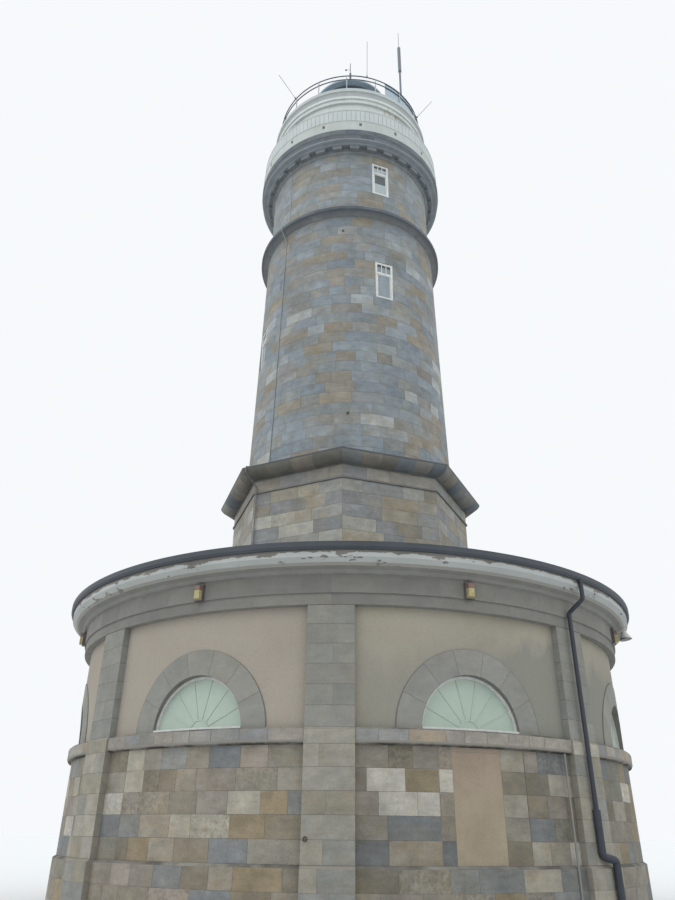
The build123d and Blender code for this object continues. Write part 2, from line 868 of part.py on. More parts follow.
with BuildPart() as roof_finial:
    with BuildSketch(Plane.XY.offset(roof_top)):
        Circle(lantern_neck_radius)
    extrude(amount=neck_height, taper=20)
    with Locations((0, 0, neck_top + ball_radius / 2)):
        Sphere(ball_radius)
    with BuildSketch(Plane.XY.offset(neck_top)):
        Circle(rod_radius)
    extrude(amount=rod_height)
    with BuildSketch(Plane.XY.offset(neck_top + rod_height)):
        Circle(spike_radius)
    extrude(amount=spike_height)
    # Small ball on an arm to the left of the spike
    sensor_level = neck_top + rod_height + sensor_rise
    with BuildSketch(wall_plane(sensor_angle, 0, sensor_level)):
        Circle(spike_radius / 2)
    extrude(amount=sensor_reach)
    with Locations(outward(sensor_angle) * sensor_reach + Vector(0, 0, sensor_level)):
        Sphere(sensor_radius)
keep(roof_finial, "roof_finial")

# Tower window frames, nearly flush with the wall: a low light over a tall one
window_places = [(at, sill, shaft_radius(sill + window_height))
                 for at, sill in shaft_windows.values()]
window_places += [(at, watch_window_sill, watch_radius) for at in watch_windows]
light_width = window_width - 2 * window_frame_width
upper_light_bottom = window_height - window_transom_drop
upper_light_height = window_transom_drop - window_frame_width
lower_light_height = upper_light_bottom - 2 * window_frame_width
window_lights = [(window_frame_width, lower_light_height),
                 (upper_light_bottom, upper_light_height)]
with BuildPart() as tower_window_frames:
    for at, sill, radius in window_places:
        with BuildSketch(wall_plane(at, radius - window_setback - window_frame_depth, sill)):
            Rectangle(window_width, window_height, align=(Align.CENTER, Align.MIN))
            for bottom, height in window_lights:
                with Locations((0, bottom)):
                    Rectangle(light_width, height, align=(Align.CENTER, Align.MIN),
                              mode=Mode.SUBTRACT)
        extrude(amount=window_frame_depth)
keep(tower_window_frames, "tower_window_frames")

with BuildPart() as tower_window_glass:
    for at, sill, radius in window_places:
        middle = radius - window_setback - window_frame_depth / 2
        for bottom, height in window_lights:
            with BuildSketch(wall_plane(at, middle, sill + bottom)):
                Rectangle(light_width, height, align=(Align.CENTER, Align.MIN))
            extrude(amount=glass_thickness / 2, both=True)
keep(tower_window_glass, "tower_window_glass")

# Entrance at the back: frame, closed leaf and a light over it
door_opening = band_bottom - floor_thickness
door_plane = wall_plane(door_bay, panel_radius - door_setback - door_frame_depth,
                        floor_thickness)
with BuildPart() as entrance_frame:
    with BuildSketch(door_plane):
        Rectangle(door_width, door_opening, align=(Align.CENTER, Align.MIN))
        Rectangle(door_width - 2 * door_frame_width, door_leaf_height,
                  align=(Align.CENTER, Align.MIN), mode=Mode.SUBTRACT)
        with Locations((0, door_leaf_height + door_frame_width)):
            Rectangle(door_width - 2 * door_frame_width,
                      door_opening - door_leaf_height - 2 * door_frame_width,
                      align=(Align.CENTER, Align.MIN), mode=Mode.SUBTRACT)
    extrude(amount=door_frame_depth)
keep(entrance_frame, "entrance_frame")

with BuildPart() as entrance_door:
    with BuildSketch(door_plane):
        Rectangle(door_width - 2 * door_frame_width, door_leaf_height,
                  align=(Align.CENTER, Align.MIN))
    extrude(amount=door_leaf_thickness)
keep(entrance_door, "entrance_door")

# Wall lamps on the frieze, one over each window
with BuildPart() as lamp_housings:
    for angle in bay_names:
        with BuildSketch(wall_plane(angle, frieze_radius, frieze_top - lamp_drop)):
            Rectangle(lamp_width, lamp_height)
        extrude(amount=lamp_depth / 2)
keep(lamp_housings, "lamp_housings")

with BuildPart() as lamp_lenses:
    for angle in bay_names:
        with BuildSketch(wall_plane(angle, frieze_radius + lamp_depth / 2,
                                    frieze_top - lamp_drop)):
            Rectangle(lamp_width - 2 * lens_margin, lamp_height - 2 * lens_margin)
        extrude(amount=lamp_depth / 2, taper=12)
keep(lamp_lenses, "lamp_lenses")

# Bell-shaped lamp on an arm from the frieze, its mouth down and slightly outward
with BuildPart() as bell_lamp:
    bell_out = outward(bell_angle)
    bell_along = bell_out * cos(radians(bell_tilt)) - Vector(0, 0, sin(radians(bell_tilt)))
    arm_start = bell_out * frieze_radius + Vector(0, 0, frieze_top - bell_drop)
    throat = arm_start + bell_out * bell_arm_length
    mouth = throat + bell_along * bell_length
    with BuildSketch(Plane(origin=arm_start, z_dir=bell_out)):
        Circle(bell_arm_radius)
    extrude(amount=bell_arm_length)
    with BuildSketch(Plane(origin=throat, z_dir=bell_along)):
        Circle(bell_throat_radius)
    with BuildSketch(Plane(origin=mouth, z_dir=bell_along)):
        Circle(bell_mouth_radius)
    loft()
keep(bell_lamp, "bell_lamp")

# Downpipe from the gutter down the pilaster, into a wider boot that steps aside
# over the plinth
pipe_out = outward(pipe_angle)
boot_out = outward(boot_angle)
pipe_top_distance = corona_radius + pipe_radius + pipe_outlet_gap
pipe_distance = frieze_radius + pipe_radius + pipe_gap
boot_distance = pilaster_plinth_radius + boot_radius + pipe_gap
boot_top = plinth_height + boot_height
boot_step = plinth_height + boot_bend
with BuildPart() as downpipe:
    with BuildLine() as pipe_route:
        FilletPolyline(
            pipe_out * pipe_top_distance + Vector(0, 0, corona_top),
            pipe_out * pipe_top_distance + Vector(0, 0, frieze_top - pipe_elbow_drop),
            pipe_out * pipe_distance + Vector(0, 0, frieze_top - pipe_return_drop),
            pipe_out * pipe_distance + Vector(0, 0, boot_top),
            radius=pipe_bend,
        )
    with BuildSketch(Plane(origin=pipe_route.line @ 0, z_dir=pipe_route.line % 0)):
        Circle(pipe_radius)
    sweep(path=pipe_route.line)
    with BuildLine() as boot_route:
        FilletPolyline(
            pipe_out * pipe_distance + Vector(0, 0, boot_top),
            pipe_out * pipe_distance + Vector(0, 0, boot_step + boot_bend),
            boot_out * boot_distance + Vector(0, 0, boot_step),
            boot_out * boot_distance + Vector(0, 0, boot_bend),
            radius=boot_bend,
        )
    with BuildSketch(Plane(origin=boot_route.line @ 0, z_dir=boot_route.line % 0)):
        Circle(boot_radius)
    sweep(path=boot_route.line)
keep(downpipe, "downpipe")

# Thin conduit up the ashlar beside the downpipe
with BuildPart() as wall_conduit:
    conduit_place = outward(conduit_angle) * (plinth_radius + conduit_radius)
    with BuildSketch(Plane.XY.offset(conduit_foot)):
        with Locations((conduit_place.X, conduit_place.Y)):
            Circle(conduit_radius)
    extrude(amount=band_bottom - conduit_foot)
keep(wall_conduit, "wall_conduit")

# Lightning conductor: a strap from the gallery cornice over the mouldings to the base
# roof. The line runs on the face of the tower and is given its thickness outward.
foot_line = octagon_face(foot_flat + astragal_proud, conductor_angle) + strap_standoff
lip_line = octagon_face(cornice_flat, conductor_angle) + strap_standoff
slope_line = octagon_face(shaft_foot_radius + weathering_setback, conductor_angle)
roof_share = (roof_edge - foot_line) / (roof_edge - roof_inner)
strap_end = corona_top + roof_rise * roof_share + roof_thickness + 2 * strap_standoff
with BuildPart() as lightning_conductor:
    with BuildSketch(radial_plane(conductor_angle)):
        with BuildLine():
            Polyline(
                (watch_radius, watch_wall_top),
                (watch_radius, cordon_top),
                (cordon_radius, cordon_lip_top),
                (cordon_radius, cordon_lip_bottom),
                (shaft_top_radius + strap_standoff, shaft_top - cordon_overhang),
                (shaft_middle_radius + strap_standoff, (shaft_bottom + shaft_top) / 2),
                (shaft_foot_radius + strap_standoff, shaft_bottom + strap_standoff),
                (slope_line, shaft_bottom + strap_standoff),
                (lip_line, foot_cornice_top + strap_standoff),
                (lip_line, foot_cornice_bottom + foot_cornice_height / 2),
                (foot_line, foot_cornice_bottom - foot_cornice_overhang / 2),
                (foot_line, strap_end),
            )
            offset(amount=strap_thickness, side=Side.LEFT)
        make_face()
    extrude(amount=strap_width / 2, both=True)
keep(lightning_conductor, "lightning_conductor")

# Aerial mast on the deck inside the screen: pole, wider aerial sleeve and a thin whip
mast_distance = rail_radius - rail_tube_radius - screen_thickness - mast_gap - mast_radius
sleeve_bottom = upper_deck_top + mast_height
whip_bottom = sleeve_bottom + sleeve_height
with BuildPart() as aerial_mast:
    mast_place = outward(mast_angle) * mast_distance
    for level, radius, height in ((upper_deck_top, mast_radius, mast_height),
                                  (sleeve_bottom, sleeve_radius, sleeve_height),
                                  (whip_bottom, whip_radius, mast_whip_height)):
        with BuildSketch(Plane.XY.offset(level)):
            with Locations((mast_place.X, mast_place.Y)):
                Circle(radius)
        extrude(amount=height)
keep(aerial_mast, "aerial_mast")

# Whip aerials, each in a clamp on the top rail: angle, lean outward in degrees, length
with BuildPart() as whip_aerials:
    for angle, lean, length in whips:
        foot = outward(angle) * (rail_radius + rail_tube_radius + whip_clamp / 2)
        foot += Vector(0, 0, upper_deck_top + rail_heights[-1])
        along = outward(angle) * sin(radians(lean)) + Vector(0, 0, cos(radians(lean)))
        with BuildSketch(Plane(origin=foot, z_dir=along)):
            Circle(whip_radius)
        extrude(amount=length)
        with BuildSketch(wall_plane(angle, rail_radius + rail_tube_radius,
                                    upper_deck_top + rail_heights[-1])):
            Rectangle(whip_clamp, whip_clamp)
        extrude(amount=whip_clamp)
keep(whip_aerials, "whip_aerials")

# Dark screen fixed inside the rails on the right
screen_face = rail_radius - rail_tube_radius
screen_bottom = upper_deck_top + screen_foot
screen_top = upper_deck_top + rail_heights[-1]
with BuildPart() as railing_screen:
    add(ring_part([
        (screen_face - screen_thickness, screen_bottom),
        (screen_face, screen_bottom),
        (screen_face, screen_top),
        (screen_face - screen_thickness, screen_top),
    ], screen_angle, screen_sweep))
keep(railing_screen, "railing_screen")
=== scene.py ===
import math
import random

import bmesh
import bpy
from mathutils import Matrix, Vector


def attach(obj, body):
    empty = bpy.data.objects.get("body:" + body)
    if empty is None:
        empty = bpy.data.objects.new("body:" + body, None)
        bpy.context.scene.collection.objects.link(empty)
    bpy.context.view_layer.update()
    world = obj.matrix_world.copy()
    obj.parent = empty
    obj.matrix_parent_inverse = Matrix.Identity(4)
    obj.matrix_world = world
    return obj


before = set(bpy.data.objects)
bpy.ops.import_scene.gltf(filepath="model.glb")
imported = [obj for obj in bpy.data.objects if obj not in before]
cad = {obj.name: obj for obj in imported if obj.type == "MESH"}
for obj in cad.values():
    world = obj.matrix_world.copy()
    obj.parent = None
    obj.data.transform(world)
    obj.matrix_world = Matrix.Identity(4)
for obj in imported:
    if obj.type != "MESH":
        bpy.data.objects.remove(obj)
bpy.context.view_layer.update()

pi = math.pi


# Floor, light and camera.
# A plain pale floor under a soft even light, seen from twenty metres off, a little to the
# right of the front pilaster, looking up.
collection = bpy.context.scene.collection
floor_half = 900
floor_mesh = bpy.data.meshes.new("floor")
floor_mesh.from_pydata(
    [(-floor_half, -floor_half, 0), (floor_half, -floor_half, 0),
     (floor_half, floor_half, 0), (-floor_half, floor_half, 0)], [], [(0, 1, 2, 3)])
floor = bpy.data.objects.new("studio_floor", floor_mesh)
collection.objects.link(floor)
floor_paint = bpy.data.materials.new("studio_floor")
floor_paint.use_nodes = True
shader = floor_paint.node_tree.nodes["Principled BSDF"]
shader.inputs["Base Color"].default_value = (0.72, 0.73, 0.73, 1)
shader.inputs["Roughness"].default_value = 0.9
floor_mesh.materials.append(floor_paint)

world = bpy.data.worlds.new("studio_world")
bpy.context.scene.world = world
world.use_nodes = True
tree = world.node_tree
sky = tree.nodes["Background"]
sky.inputs["Color"].default_value = (0.92, 0.97, 1.0, 1)
sky.inputs["Strength"].default_value = 0.74
backdrop = tree.nodes.new("ShaderNodeBackground")
backdrop.inputs["Color"].default_value = (0.93, 0.95, 0.97, 1)
backdrop.inputs["Strength"].default_value = 1.0
light_path = tree.nodes.new("ShaderNodeLightPath")
# The camera, gloss and glass see a plain backdrop; the sky's own colour only gives light
sees_backdrop = light_path.outputs["Is Camera Ray"]
for ray in ("Is Glossy Ray", "Is Transmission Ray"):
    either = tree.nodes.new("ShaderNodeMath")
    either.operation = "ADD"
    either.use_clamp = True
    tree.links.new(sees_backdrop, either.inputs[0])
    tree.links.new(light_path.outputs[ray], either.inputs[1])
    sees_backdrop = either.outputs[0]
mixed = tree.nodes.new("ShaderNodeMixShader")
tree.links.new(sees_backdrop, mixed.inputs[0])
tree.links.new(sky.outputs[0], mixed.inputs[1])
tree.links.new(backdrop.outputs[0], mixed.inputs[2])
tree.links.new(mixed.outputs[0], tree.nodes["World Output"].inputs["Surface"])

for name, strength, spread, azimuth, height in (
        ("soft_sky_left", 1.45, 95, -66, 44), ("soft_sky_right", 1.00, 95, 60, 46)):
    lamp = bpy.data.lights.new(name, "SUN")
    lamp.energy = strength
    lamp.angle = math.radians(spread)
    lamp_object = bpy.data.objects.new(name, lamp)
    collection.objects.link(lamp_object)
    turn, rise = math.radians(azimuth), math.radians(height)
    towards = Vector((math.sin(turn) * math.cos(rise), -math.cos(turn) * math.cos(rise),
                      math.sin(rise)))
    lamp_object.rotation_mode = "QUATERNION"
    lamp_object.rotation_quaternion = towards.to_track_quat("Z", "Y")

eye_distance, eye_height, eye_side = 20.5, 1.6, math.radians(2.75)
look_left, look_up, camera_roll = math.radians(1.037), math.radians(27.884), math.radians(0.67)
film_height, picture_height, focal_pixels = 36, 900, 728
camera_data = bpy.data.cameras.new("camera")
camera = bpy.data.objects.new("camera", camera_data)
collection.objects.link(camera)
camera_data.sensor_fit = "VERTICAL"
camera_data.sensor_width = film_height
camera_data.sensor_height = film_height
camera_data.lens = film_height * focal_pixels / picture_height
camera_data.clip_end = 3000
heading = pi / 2 + eye_side + look_left
forward = Vector((math.cos(heading) * math.cos(look_up), math.sin(heading) * math.cos(look_up),
                  math.sin(look_up)))
level_right = forward.cross(Vector((0, 0, 1))).normalized()
level_up = level_right.cross(forward)
right = level_right * math.cos(camera_roll) + level_up * math.sin(camera_roll)
up = level_up * math.cos(camera_roll) - level_right * math.sin(camera_roll)
camera.matrix_world = Matrix.Translation(
    (eye_distance * math.sin(eye_side), -eye_distance * math.cos(eye_side), eye_height)
) @ Matrix((right, up, -forward)).transposed().to_4x4()
bpy.context.scene.camera = camera
bpy.context.scene.view_settings.view_transform = "Standard"


# Coursed ashlar of the base building.
# Blocks of grey, ochre and buff limestone, sawn and laid in even courses with fine joints.
# Each block stands a few millimetres proud of the bedding mortar behind it.
upwards = Vector((0, 0, 1))
chance = random.Random(11)
block_depth, block_chamfer, block_joint = 0.005, 0.003, 0.004


def outward(angle):
    turn = math.radians(angle)
    return Vector((math.sin(turn), -math.cos(turn), 0))


def on_cylinder(radius):
    """Maps (length along the face, height, depth) to a place on a round wall."""
    def place(along, height, depth):
        return outward(math.degrees(along / radius)) * (radius + depth) + upwards * height
    return place


def upright_face(start, end, low, high, gap=0.0):
    """Corners of a stone's face, held back from its neighbours by a gap all round."""
    return [(start + gap, low + gap), (end - gap, low + gap),
            (end - gap, high - gap), (start + gap, high - gap)]


def add_block(mesh, tone, place, corners, depth, chamfer, steps, rows=1):
    """One stone: a chamfered face of four corners (along, height), with sides into the wall."""
    (l0, h0), (l1, h1), (l2, h2), (l3, h3) = corners
    least_size, most_inset, side_end = 1e-4, 0.3, -0.012
    width = max(abs(l1 - l0), abs(l2 - l3), least_size)
    tall = max(abs(h3 - h0), abs(h2 - h1), least_size)
    inset_u, inset_v = min(chamfer / width, most_inset), min(chamfer / tall, most_inset)

    def vertex(u, v, level):
        low = (l0 + (l1 - l0) * u, h0 + (h1 - h0) * u)
        high = (l3 + (l2 - l3) * u, h3 + (h2 - h3) * u)
        return mesh.verts.new(place(low[0] + (high[0] - low[0]) * v,
                                    low[1] + (high[1] - low[1]) * v, level))

    def spread(inset, count):
        return [inset + (1 - 2 * inset) * i / count for i in range(count + 1)]

    def around(us, vs):
        return ([(u, vs[0]) for u in us] + [(us[-1], v) for v in vs[1:]]
                + [(u, vs[-1]) for u in us[-2::-1]] + [(us[0], v) for v in vs[-2:0:-1]])

    us, vs = spread(inset_u, steps), spread(inset_v, rows)
    front = {(u, v): vertex(u, v, depth) for v in vs for u in us}
    faces = []
    for v0, v1 in zip(vs, vs[1:]):
        for u0, u1 in zip(us, us[1:]):
            faces.append(mesh.faces.new((front[u0, v0], front[u1, v0], front[u1, v1],
                                         front[u0, v1])))
    rims = [[front[spot] for spot in around(us, vs)]]
    edge = around(spread(0, steps), spread(0, rows))
    for level in (depth - chamfer, side_end):
        rims.append([vertex(u, v, level) for u, v in edge])
    for inner, outer in zip(rims, rims[1:]):
        for i in range(len(inner)):
            j = (i + 1) % len(inner)
            faces.append(mesh.faces.new((outer[i], outer[j], inner[j], inner[i])))
    tone_layer = mesh.faces.layers.float["stone_tone"]
    for face in faces:
        face[tone_layer] = tone


def free_spans(start, end, low, high, holes, breaks):
    """The parts of a course that no opening takes, cut at the through joints."""
    half_gap, least_stone = 0.005, 0.02
    marks = [start - half_gap] + [b for b in breaks if start < b < end] + [end + half_gap]
    spans = [(a + half_gap, b - half_gap) for a, b in zip(marks, marks[1:])]
    for hole_start, hole_end, hole_low, hole_high in holes:
        if hole_high - least_stone <= low or hole_low + least_stone >= high:
            continue
        cut = []
        for a, b in spans:
            if hole_end <= a or hole_start >= b:
                cut.append((a, b))
            else:
                cut += [(left, right) for left, right in ((a, hole_start), (hole_end, b))
                        if right - left > least_stone]
        spans = cut
    return spans


def lay_courses(mesh, place, start, end, levels, sizes, holes=(), breaks=(), joint=block_joint,
                depth=block_depth, chamfer=block_chamfer, step=0.28, slide=0.0, rows=1):
    """Fills courses between the levels with stones of random length."""
    shortest = sizes[0]
    for low, high in zip(levels, levels[1:]):
        moved = chance.uniform(-slide, slide)
        for span_start, span_end in free_spans(start + moved, end + moved, low, high, holes,
                                               breaks):
            marks = [span_start]
            while True:
                size = chance.uniform(*sizes)
                if span_end - marks[-1] < size + 0.6 * shortest:
                    break
                marks.append(marks[-1] + size)
            marks.append(span_end)
            if len(marks) > 2:
                shift = chance.uniform(-0.35, 0.1) * shortest
                marks[1:-1] = [mark + shift for mark in marks[1:-1]]
            for a, b in zip(marks, marks[1:]):
                add_block(mesh, chance.random(), place, upright_face(a, b, low, high, joint / 2),
                          depth, chamfer, max(1, round((b - a) / step)), rows)


def add_piece(name, fill, material, stones=True):
    """Makes one mesh, which fill puts together, and fixes it to the building."""
    mesh = bmesh.new()
    if stones:
        mesh.faces.layers.float.new("stone_tone")
    fill(mesh)
    bmesh.ops.recalc_face_normals(mesh, faces=mesh.faces)
    data = bpy.data.meshes.new(name)
    mesh.to_mesh(data)
    mesh.free()
    data.materials.append(material)
    made = bpy.data.objects.new(name, data)
    collection.objects.link(made)
    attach(made, "root")


def wear(material, *nodes):
    """Gives CAD nodes one material."""
    for node in nodes:
        cad[node].data.materials.clear()
        cad[node].data.materials.append(material)


class Finish:
    """The nodes of a material or shader group, over the object's own metres x, y and z."""

    def __init__(self, tree, material=None):
        self.tree, self.material = tree, material
        self.place = self.put("ShaderNodeTexCoord").outputs["Object"]
        self.x, self.y, self.z = self.put("ShaderNodeSeparateXYZ", self.place).outputs

    def feed(self, socket, value):
        """Gives a socket a number, a colour or what another node puts out."""
        if isinstance(value, bpy.types.NodeSocket):
            self.tree.links.new(value, socket)
        elif isinstance(value, (int, float)):
            socket.default_value = value
        else:
            socket.default_value = (*value, 1)

    def put(self, kind, *values, **settings):
        """Makes a node with its settings, and feeds its first inputs."""
        made = self.tree.nodes.new(kind)
        for key, value in settings.items():
            setattr(made, key, value)
        for value, socket in zip(values, made.inputs):
            self.feed(socket, value)
        return made

    def maths(self, operation, first, second=0.0, clamp=False):
        return self.put("ShaderNodeMath", first, second, operation=operation,
                        use_clamp=clamp).outputs[0]

    def times(self, first, *others):
        for other in others:
            first = self.maths("MULTIPLY", first, other)
        return first

    def plus(self, first, second):
        return self.maths("ADD", first, second)

    def less(self, first, second):
        return self.maths("SUBTRACT", first, second)

    def above(self, value, level):
        return self.maths("GREATER_THAN", value, level)

    def below(self, value, level):
        return self.maths("LESS_THAN", value, level)

    def between(self, value, low, high):
        """Rises from 0 at low to 1 at high; falls where high is the lower one."""
        return self.maths("DIVIDE", self.less(value, low), high - low, True)

    def from_axis(self):
        """Distance from the tower's axis."""
        return self.maths("SQRT", self.plus(self.times(self.x, self.x),
                                            self.times(self.y, self.y)))

    def blend(self, amount, first, second, mode="MIX"):
        mix = self.put("ShaderNodeMix", data_type="RGBA", blend_type=mode)
        for index, value in ((0, amount), (6, first), (7, second)):
            self.feed(mix.inputs[index], value)
        return mix.outputs[2]

    def tint(self, colour, by, amount=1.0):
        """The colour multiplied by another, in full or by an amount."""
        return self.blend(amount, colour, by, "MULTIPLY")

    def ramp(self, source, *stops, smooth=True):
        """Colour ramp; a stop is (place, (r, g, b)) or (place, grey value)."""
        made = self.put("ShaderNodeValToRGB", source)
        made.color_ramp.interpolation = "LINEAR" if smooth else "CONSTANT"
        elements = made.color_ramp.elements
        while len(elements) < len(stops):
            elements.new(0.5)
        for element, (place, colour) in zip(elements, stops):
            element.position = place
            element.color = (colour,) * 3 + (1,) if isinstance(colour, float) else (*colour, 1)
        return made.outputs[0]

    def noise(self, scale, detail=4.0, rough=0.6, stretch=None, where=None):
        """Noise by the metre; a low stretch draws it out along that axis."""
        where = self.place if where is None else where
        if stretch:
            mapping = self.put("ShaderNodeMapping", where)
            mapping.inputs["Scale"].default_value = stretch
            where = mapping.outputs[0]
        made = self.put("ShaderNodeTexNoise", where)
        for label, value in (("Scale", scale), ("Detail", detail), ("Roughness", rough)):
            made.inputs[label].default_value = value
        return made.outputs["Fac"]

    def lay_in(self, group, **values):
        """Places a shader group, feeds its inputs by name and gives its outputs."""
        placed = self.put("ShaderNodeGroup", node_tree=group.tree)
        for label, value in values.items():
            self.feed(placed.inputs[label], value)
        return placed.outputs

    def surface(self, colour, rough, bump=None, specular=0.5):
        """Sets the material's shader; bump is (height, strength, distance)."""
        sockets = self.tree.nodes["Principled BSDF"].inputs
        self.feed(sockets["Base Color"], colour)
        self.feed(sockets["Roughness"], rough)
        sockets["Specular IOR Level"].default_value = specular
        if bump:
            dented = self.put("ShaderNodeBump")
            for label, value in zip(("Height", "Strength", "Distance"), bump):
                self.feed(dented.inputs[label], value)
            self.feed(sockets["Normal"], dented.outputs[0])
        return self.material


def new_finish(name):
    material = bpy.data.materials.new(name)
    material.use_nodes = True
    return Finish(material.node_tree, material)


def new_group(name, inputs, outputs):
    """Shader group with named sockets: its nodes, what comes in and where it leaves."""
    kinds = {"colour": "NodeSocketColor", "number": "NodeSocketFloat"}
    made = bpy.data.node_groups.new(name, "ShaderNodeTree")
    for label, kind, value in inputs:
        socket = made.interface.new_socket(label, in_out="INPUT", socket_type=kinds[kind])
        socket.default_value = value
    for label, kind in outputs:
        made.interface.new_socket(label, in_out="OUTPUT", socket_type=kinds[kind])
    group = Finish(made)
    return group, group.put("NodeGroupInput").outputs, group.put("NodeGroupOutput").inputs


# Sawn stone: soft clouds, bedding lines and fine pits, and grime in broad patches
sawn_stone, entry, leave = new_group(
    "sawn_stone",
    [("Colour", "colour", (0.3, 0.3, 0.3, 1)), ("Tone", "number", 0.5), ("Mottle", "number", 0.5),
     ("Grime", "number", 0.5), ("Warmth", "number", 0.0), ("Coarse", "number", 0.0)],
    [("Colour", "colour"), ("Roughness", "number"), ("Height", "number")])
shift = sawn_stone.times(entry["Tone"], 37.0)
shift = sawn_stone.put("ShaderNodeCombineXYZ", shift, shift, shift).outputs[0]
own_part = sawn_stone.put("ShaderNodeVectorMath", sawn_stone.place, shift,
                          operation="ADD").outputs[0]
clouds = sawn_stone.noise(2.6, 5.0, 0.62, where=own_part)
beds = sawn_stone.noise(3.2, 4.0, 0.55, (1.0, 1.0, 4.0), own_part)
spots = sawn_stone.noise(15.0, 3.0, 0.65, where=own_part)
stains = sawn_stone.noise(4.5, 4.0, 0.6, where=own_part)
pits = sawn_stone.noise(46.0, 3.0, 0.6)
patches = sawn_stone.noise(0.55, 5.0, 0.62)
rust_zones = sawn_stone.noise(0.85, 5.0, 0.65, (1.0, 1.0, 1.5))
own_shade = sawn_stone.maths("FRACT", sawn_stone.times(entry["Tone"], 23.7))
shade = sawn_stone.ramp(clouds, (0.30, 0.78), (0.72, 1.20))
for source, low_stop, high_stop in ((beds, (0.34, 0.92), (0.64, 1.06)),
                                    (pits, (0.32, 0.86), (0.52, 1.03)),
                                    (own_shade, (0.0, 0.91), (1.0, 1.09))):
    shade = sawn_stone.tint(shade, sawn_stone.ramp(source, low_stop, high_stop))
tinted = sawn_stone.tint(entry["Colour"], shade, entry["Mottle"])
# A few stones are coarse and spotted, some are stained brown or rusty, and some are soiled
picked = sawn_stone.maths("FRACT", sawn_stone.times(entry["Tone"], 51.3))
coarse = sawn_stone.times(sawn_stone.ramp(picked, (0.80, 0.15), (0.86, 1.0)), entry["Coarse"])
tinted = sawn_stone.tint(tinted, sawn_stone.ramp(spots, (0.34, 0.74), (0.56, 1.07)), coarse)
stained = sawn_stone.times(sawn_stone.ramp(stains, (0.48, 0.0), (0.68, 1.0)), entry["Mottle"], 0.6)
tinted = sawn_stone.tint(tinted, (1.01, 0.94, 0.80), stained)
rusted = sawn_stone.times(sawn_stone.ramp(rust_zones, (0.50, 0.0), (0.64, 1.0)), entry["Warmth"])
tinted = sawn_stone.tint(tinted, (1.01, 0.90, 0.74), rusted)
soiled = sawn_stone.times(sawn_stone.ramp(patches, (0.42, 0.0), (0.72, 1.0)), entry["Grime"])
sawn_stone.feed(leave["Colour"], sawn_stone.tint(tinted, (0.70, 0.71, 0.71), soiled))
sawn_stone.feed(leave["Roughness"], sawn_stone.ramp(pits, (0.3, 0.86), (0.7, 0.66)))
sawn_stone.feed(leave["Height"], sawn_stone.plus(sawn_stone.times(pits, 0.7),
                                                 sawn_stone.times(clouds, 0.3)))

# Faces that look down are darkened: painted shade, broken by dark growth and soot
downward_shade_and_soot, entry, leave = new_group(
    "downward_shade_and_soot", [("Colour", "colour", (0.3, 0.3, 0.3, 1)), ("Amount", "number", 0.5)],
    [("Colour", "colour")])
facing = downward_shade_and_soot.put("ShaderNodeNewGeometry").outputs["Normal"]
facing_up = downward_shade_and_soot.put("ShaderNodeSeparateXYZ", facing).outputs["Z"]
growth = downward_shade_and_soot.ramp(downward_shade_and_soot.noise(1.6, 6.0, 0.65), (0.25, 0.55), (0.6, 1.0))
shade_and_growth = downward_shade_and_soot.times(downward_shade_and_soot.between(facing_up, 0.1, -0.7), growth, entry["Amount"])
downward_shade_and_soot.feed(leave["Colour"], downward_shade_and_soot.blend(shade_and_growth, entry["Colour"], (0.055, 0.062, 0.070)))

# Horizontal joints at a regular height, for the sides of stones that are not cut apart
bed_joints, entry, leave = new_group(
    "bed_joints",
    [("Start", "number", 0.0), ("Course", "number", 0.37), ("Width", "number", 0.02)],
    [("Mask", "number")])
courses = bed_joints.maths("DIVIDE", bed_joints.less(bed_joints.z, entry["Start"]),
                           entry["Course"])
off_centre = bed_joints.maths("ABSOLUTE", bed_joints.less(bed_joints.maths("FRACT", courses), 0.5))
bed_joints.feed(leave["Mask"],
                bed_joints.above(off_centre, bed_joints.less(0.5, entry["Width"])))


def stone_surface(finish, faced, colour=None, under=0.0):
    """Sets a stone material from the sawn stone's outputs, with another colour if given."""
    colour = faced["Colour"] if colour is None else colour
    # Under darkens the faces that look down: painted shade with some soot
    if under:
        colour = finish.lay_in(downward_shade_and_soot, Colour=colour, Amount=under)["Colour"]
    return finish.surface(colour, faced["Roughness"], (faced["Height"], 0.35, 0.008), 0.40)


def block_stone(name, palette, mottle, grime, under=0.0, warmth=0.0, coarse=0.0, rare=None,
                damp_side=False):
    """Material for stones whose shade comes from each stone's own tone."""
    rare_from = 0.97
    finish = new_finish(name)
    tone = finish.put("ShaderNodeAttribute", attribute_name="stone_tone").outputs["Fac"]
    stops = [(i / len(palette), colour) for i, colour in enumerate(palette)]
    if rare:
        stops.append((rare_from, rare))
    faced = finish.lay_in(sawn_stone, Colour=finish.ramp(tone, *stops, smooth=False), Tone=tone,
                          Mottle=mottle, Grime=grime, Warmth=warmth, Coarse=coarse)
    colour = faced["Colour"]
    if damp_side:
        # All but the new pale stones are darker right of the front pilaster
        darker = finish.times(finish.between(finish.x, 0.40, 0.60), finish.below(finish.y, 0.0),
                              finish.below(tone, rare_from))
        colour = finish.tint(colour, (0.82, 0.83, 0.835), darker)
    return stone_surface(finish, faced, colour, under)


def plain_stone(name, colour, mottle, grime, under=0.0):
    """Material for turned or cut stone of one quarry shade."""
    finish = new_finish(name)
    faced = finish.lay_in(sawn_stone, Colour=colour, Tone=0.3, Mottle=mottle, Grime=grime)
    return stone_surface(finish, faced, under=under)


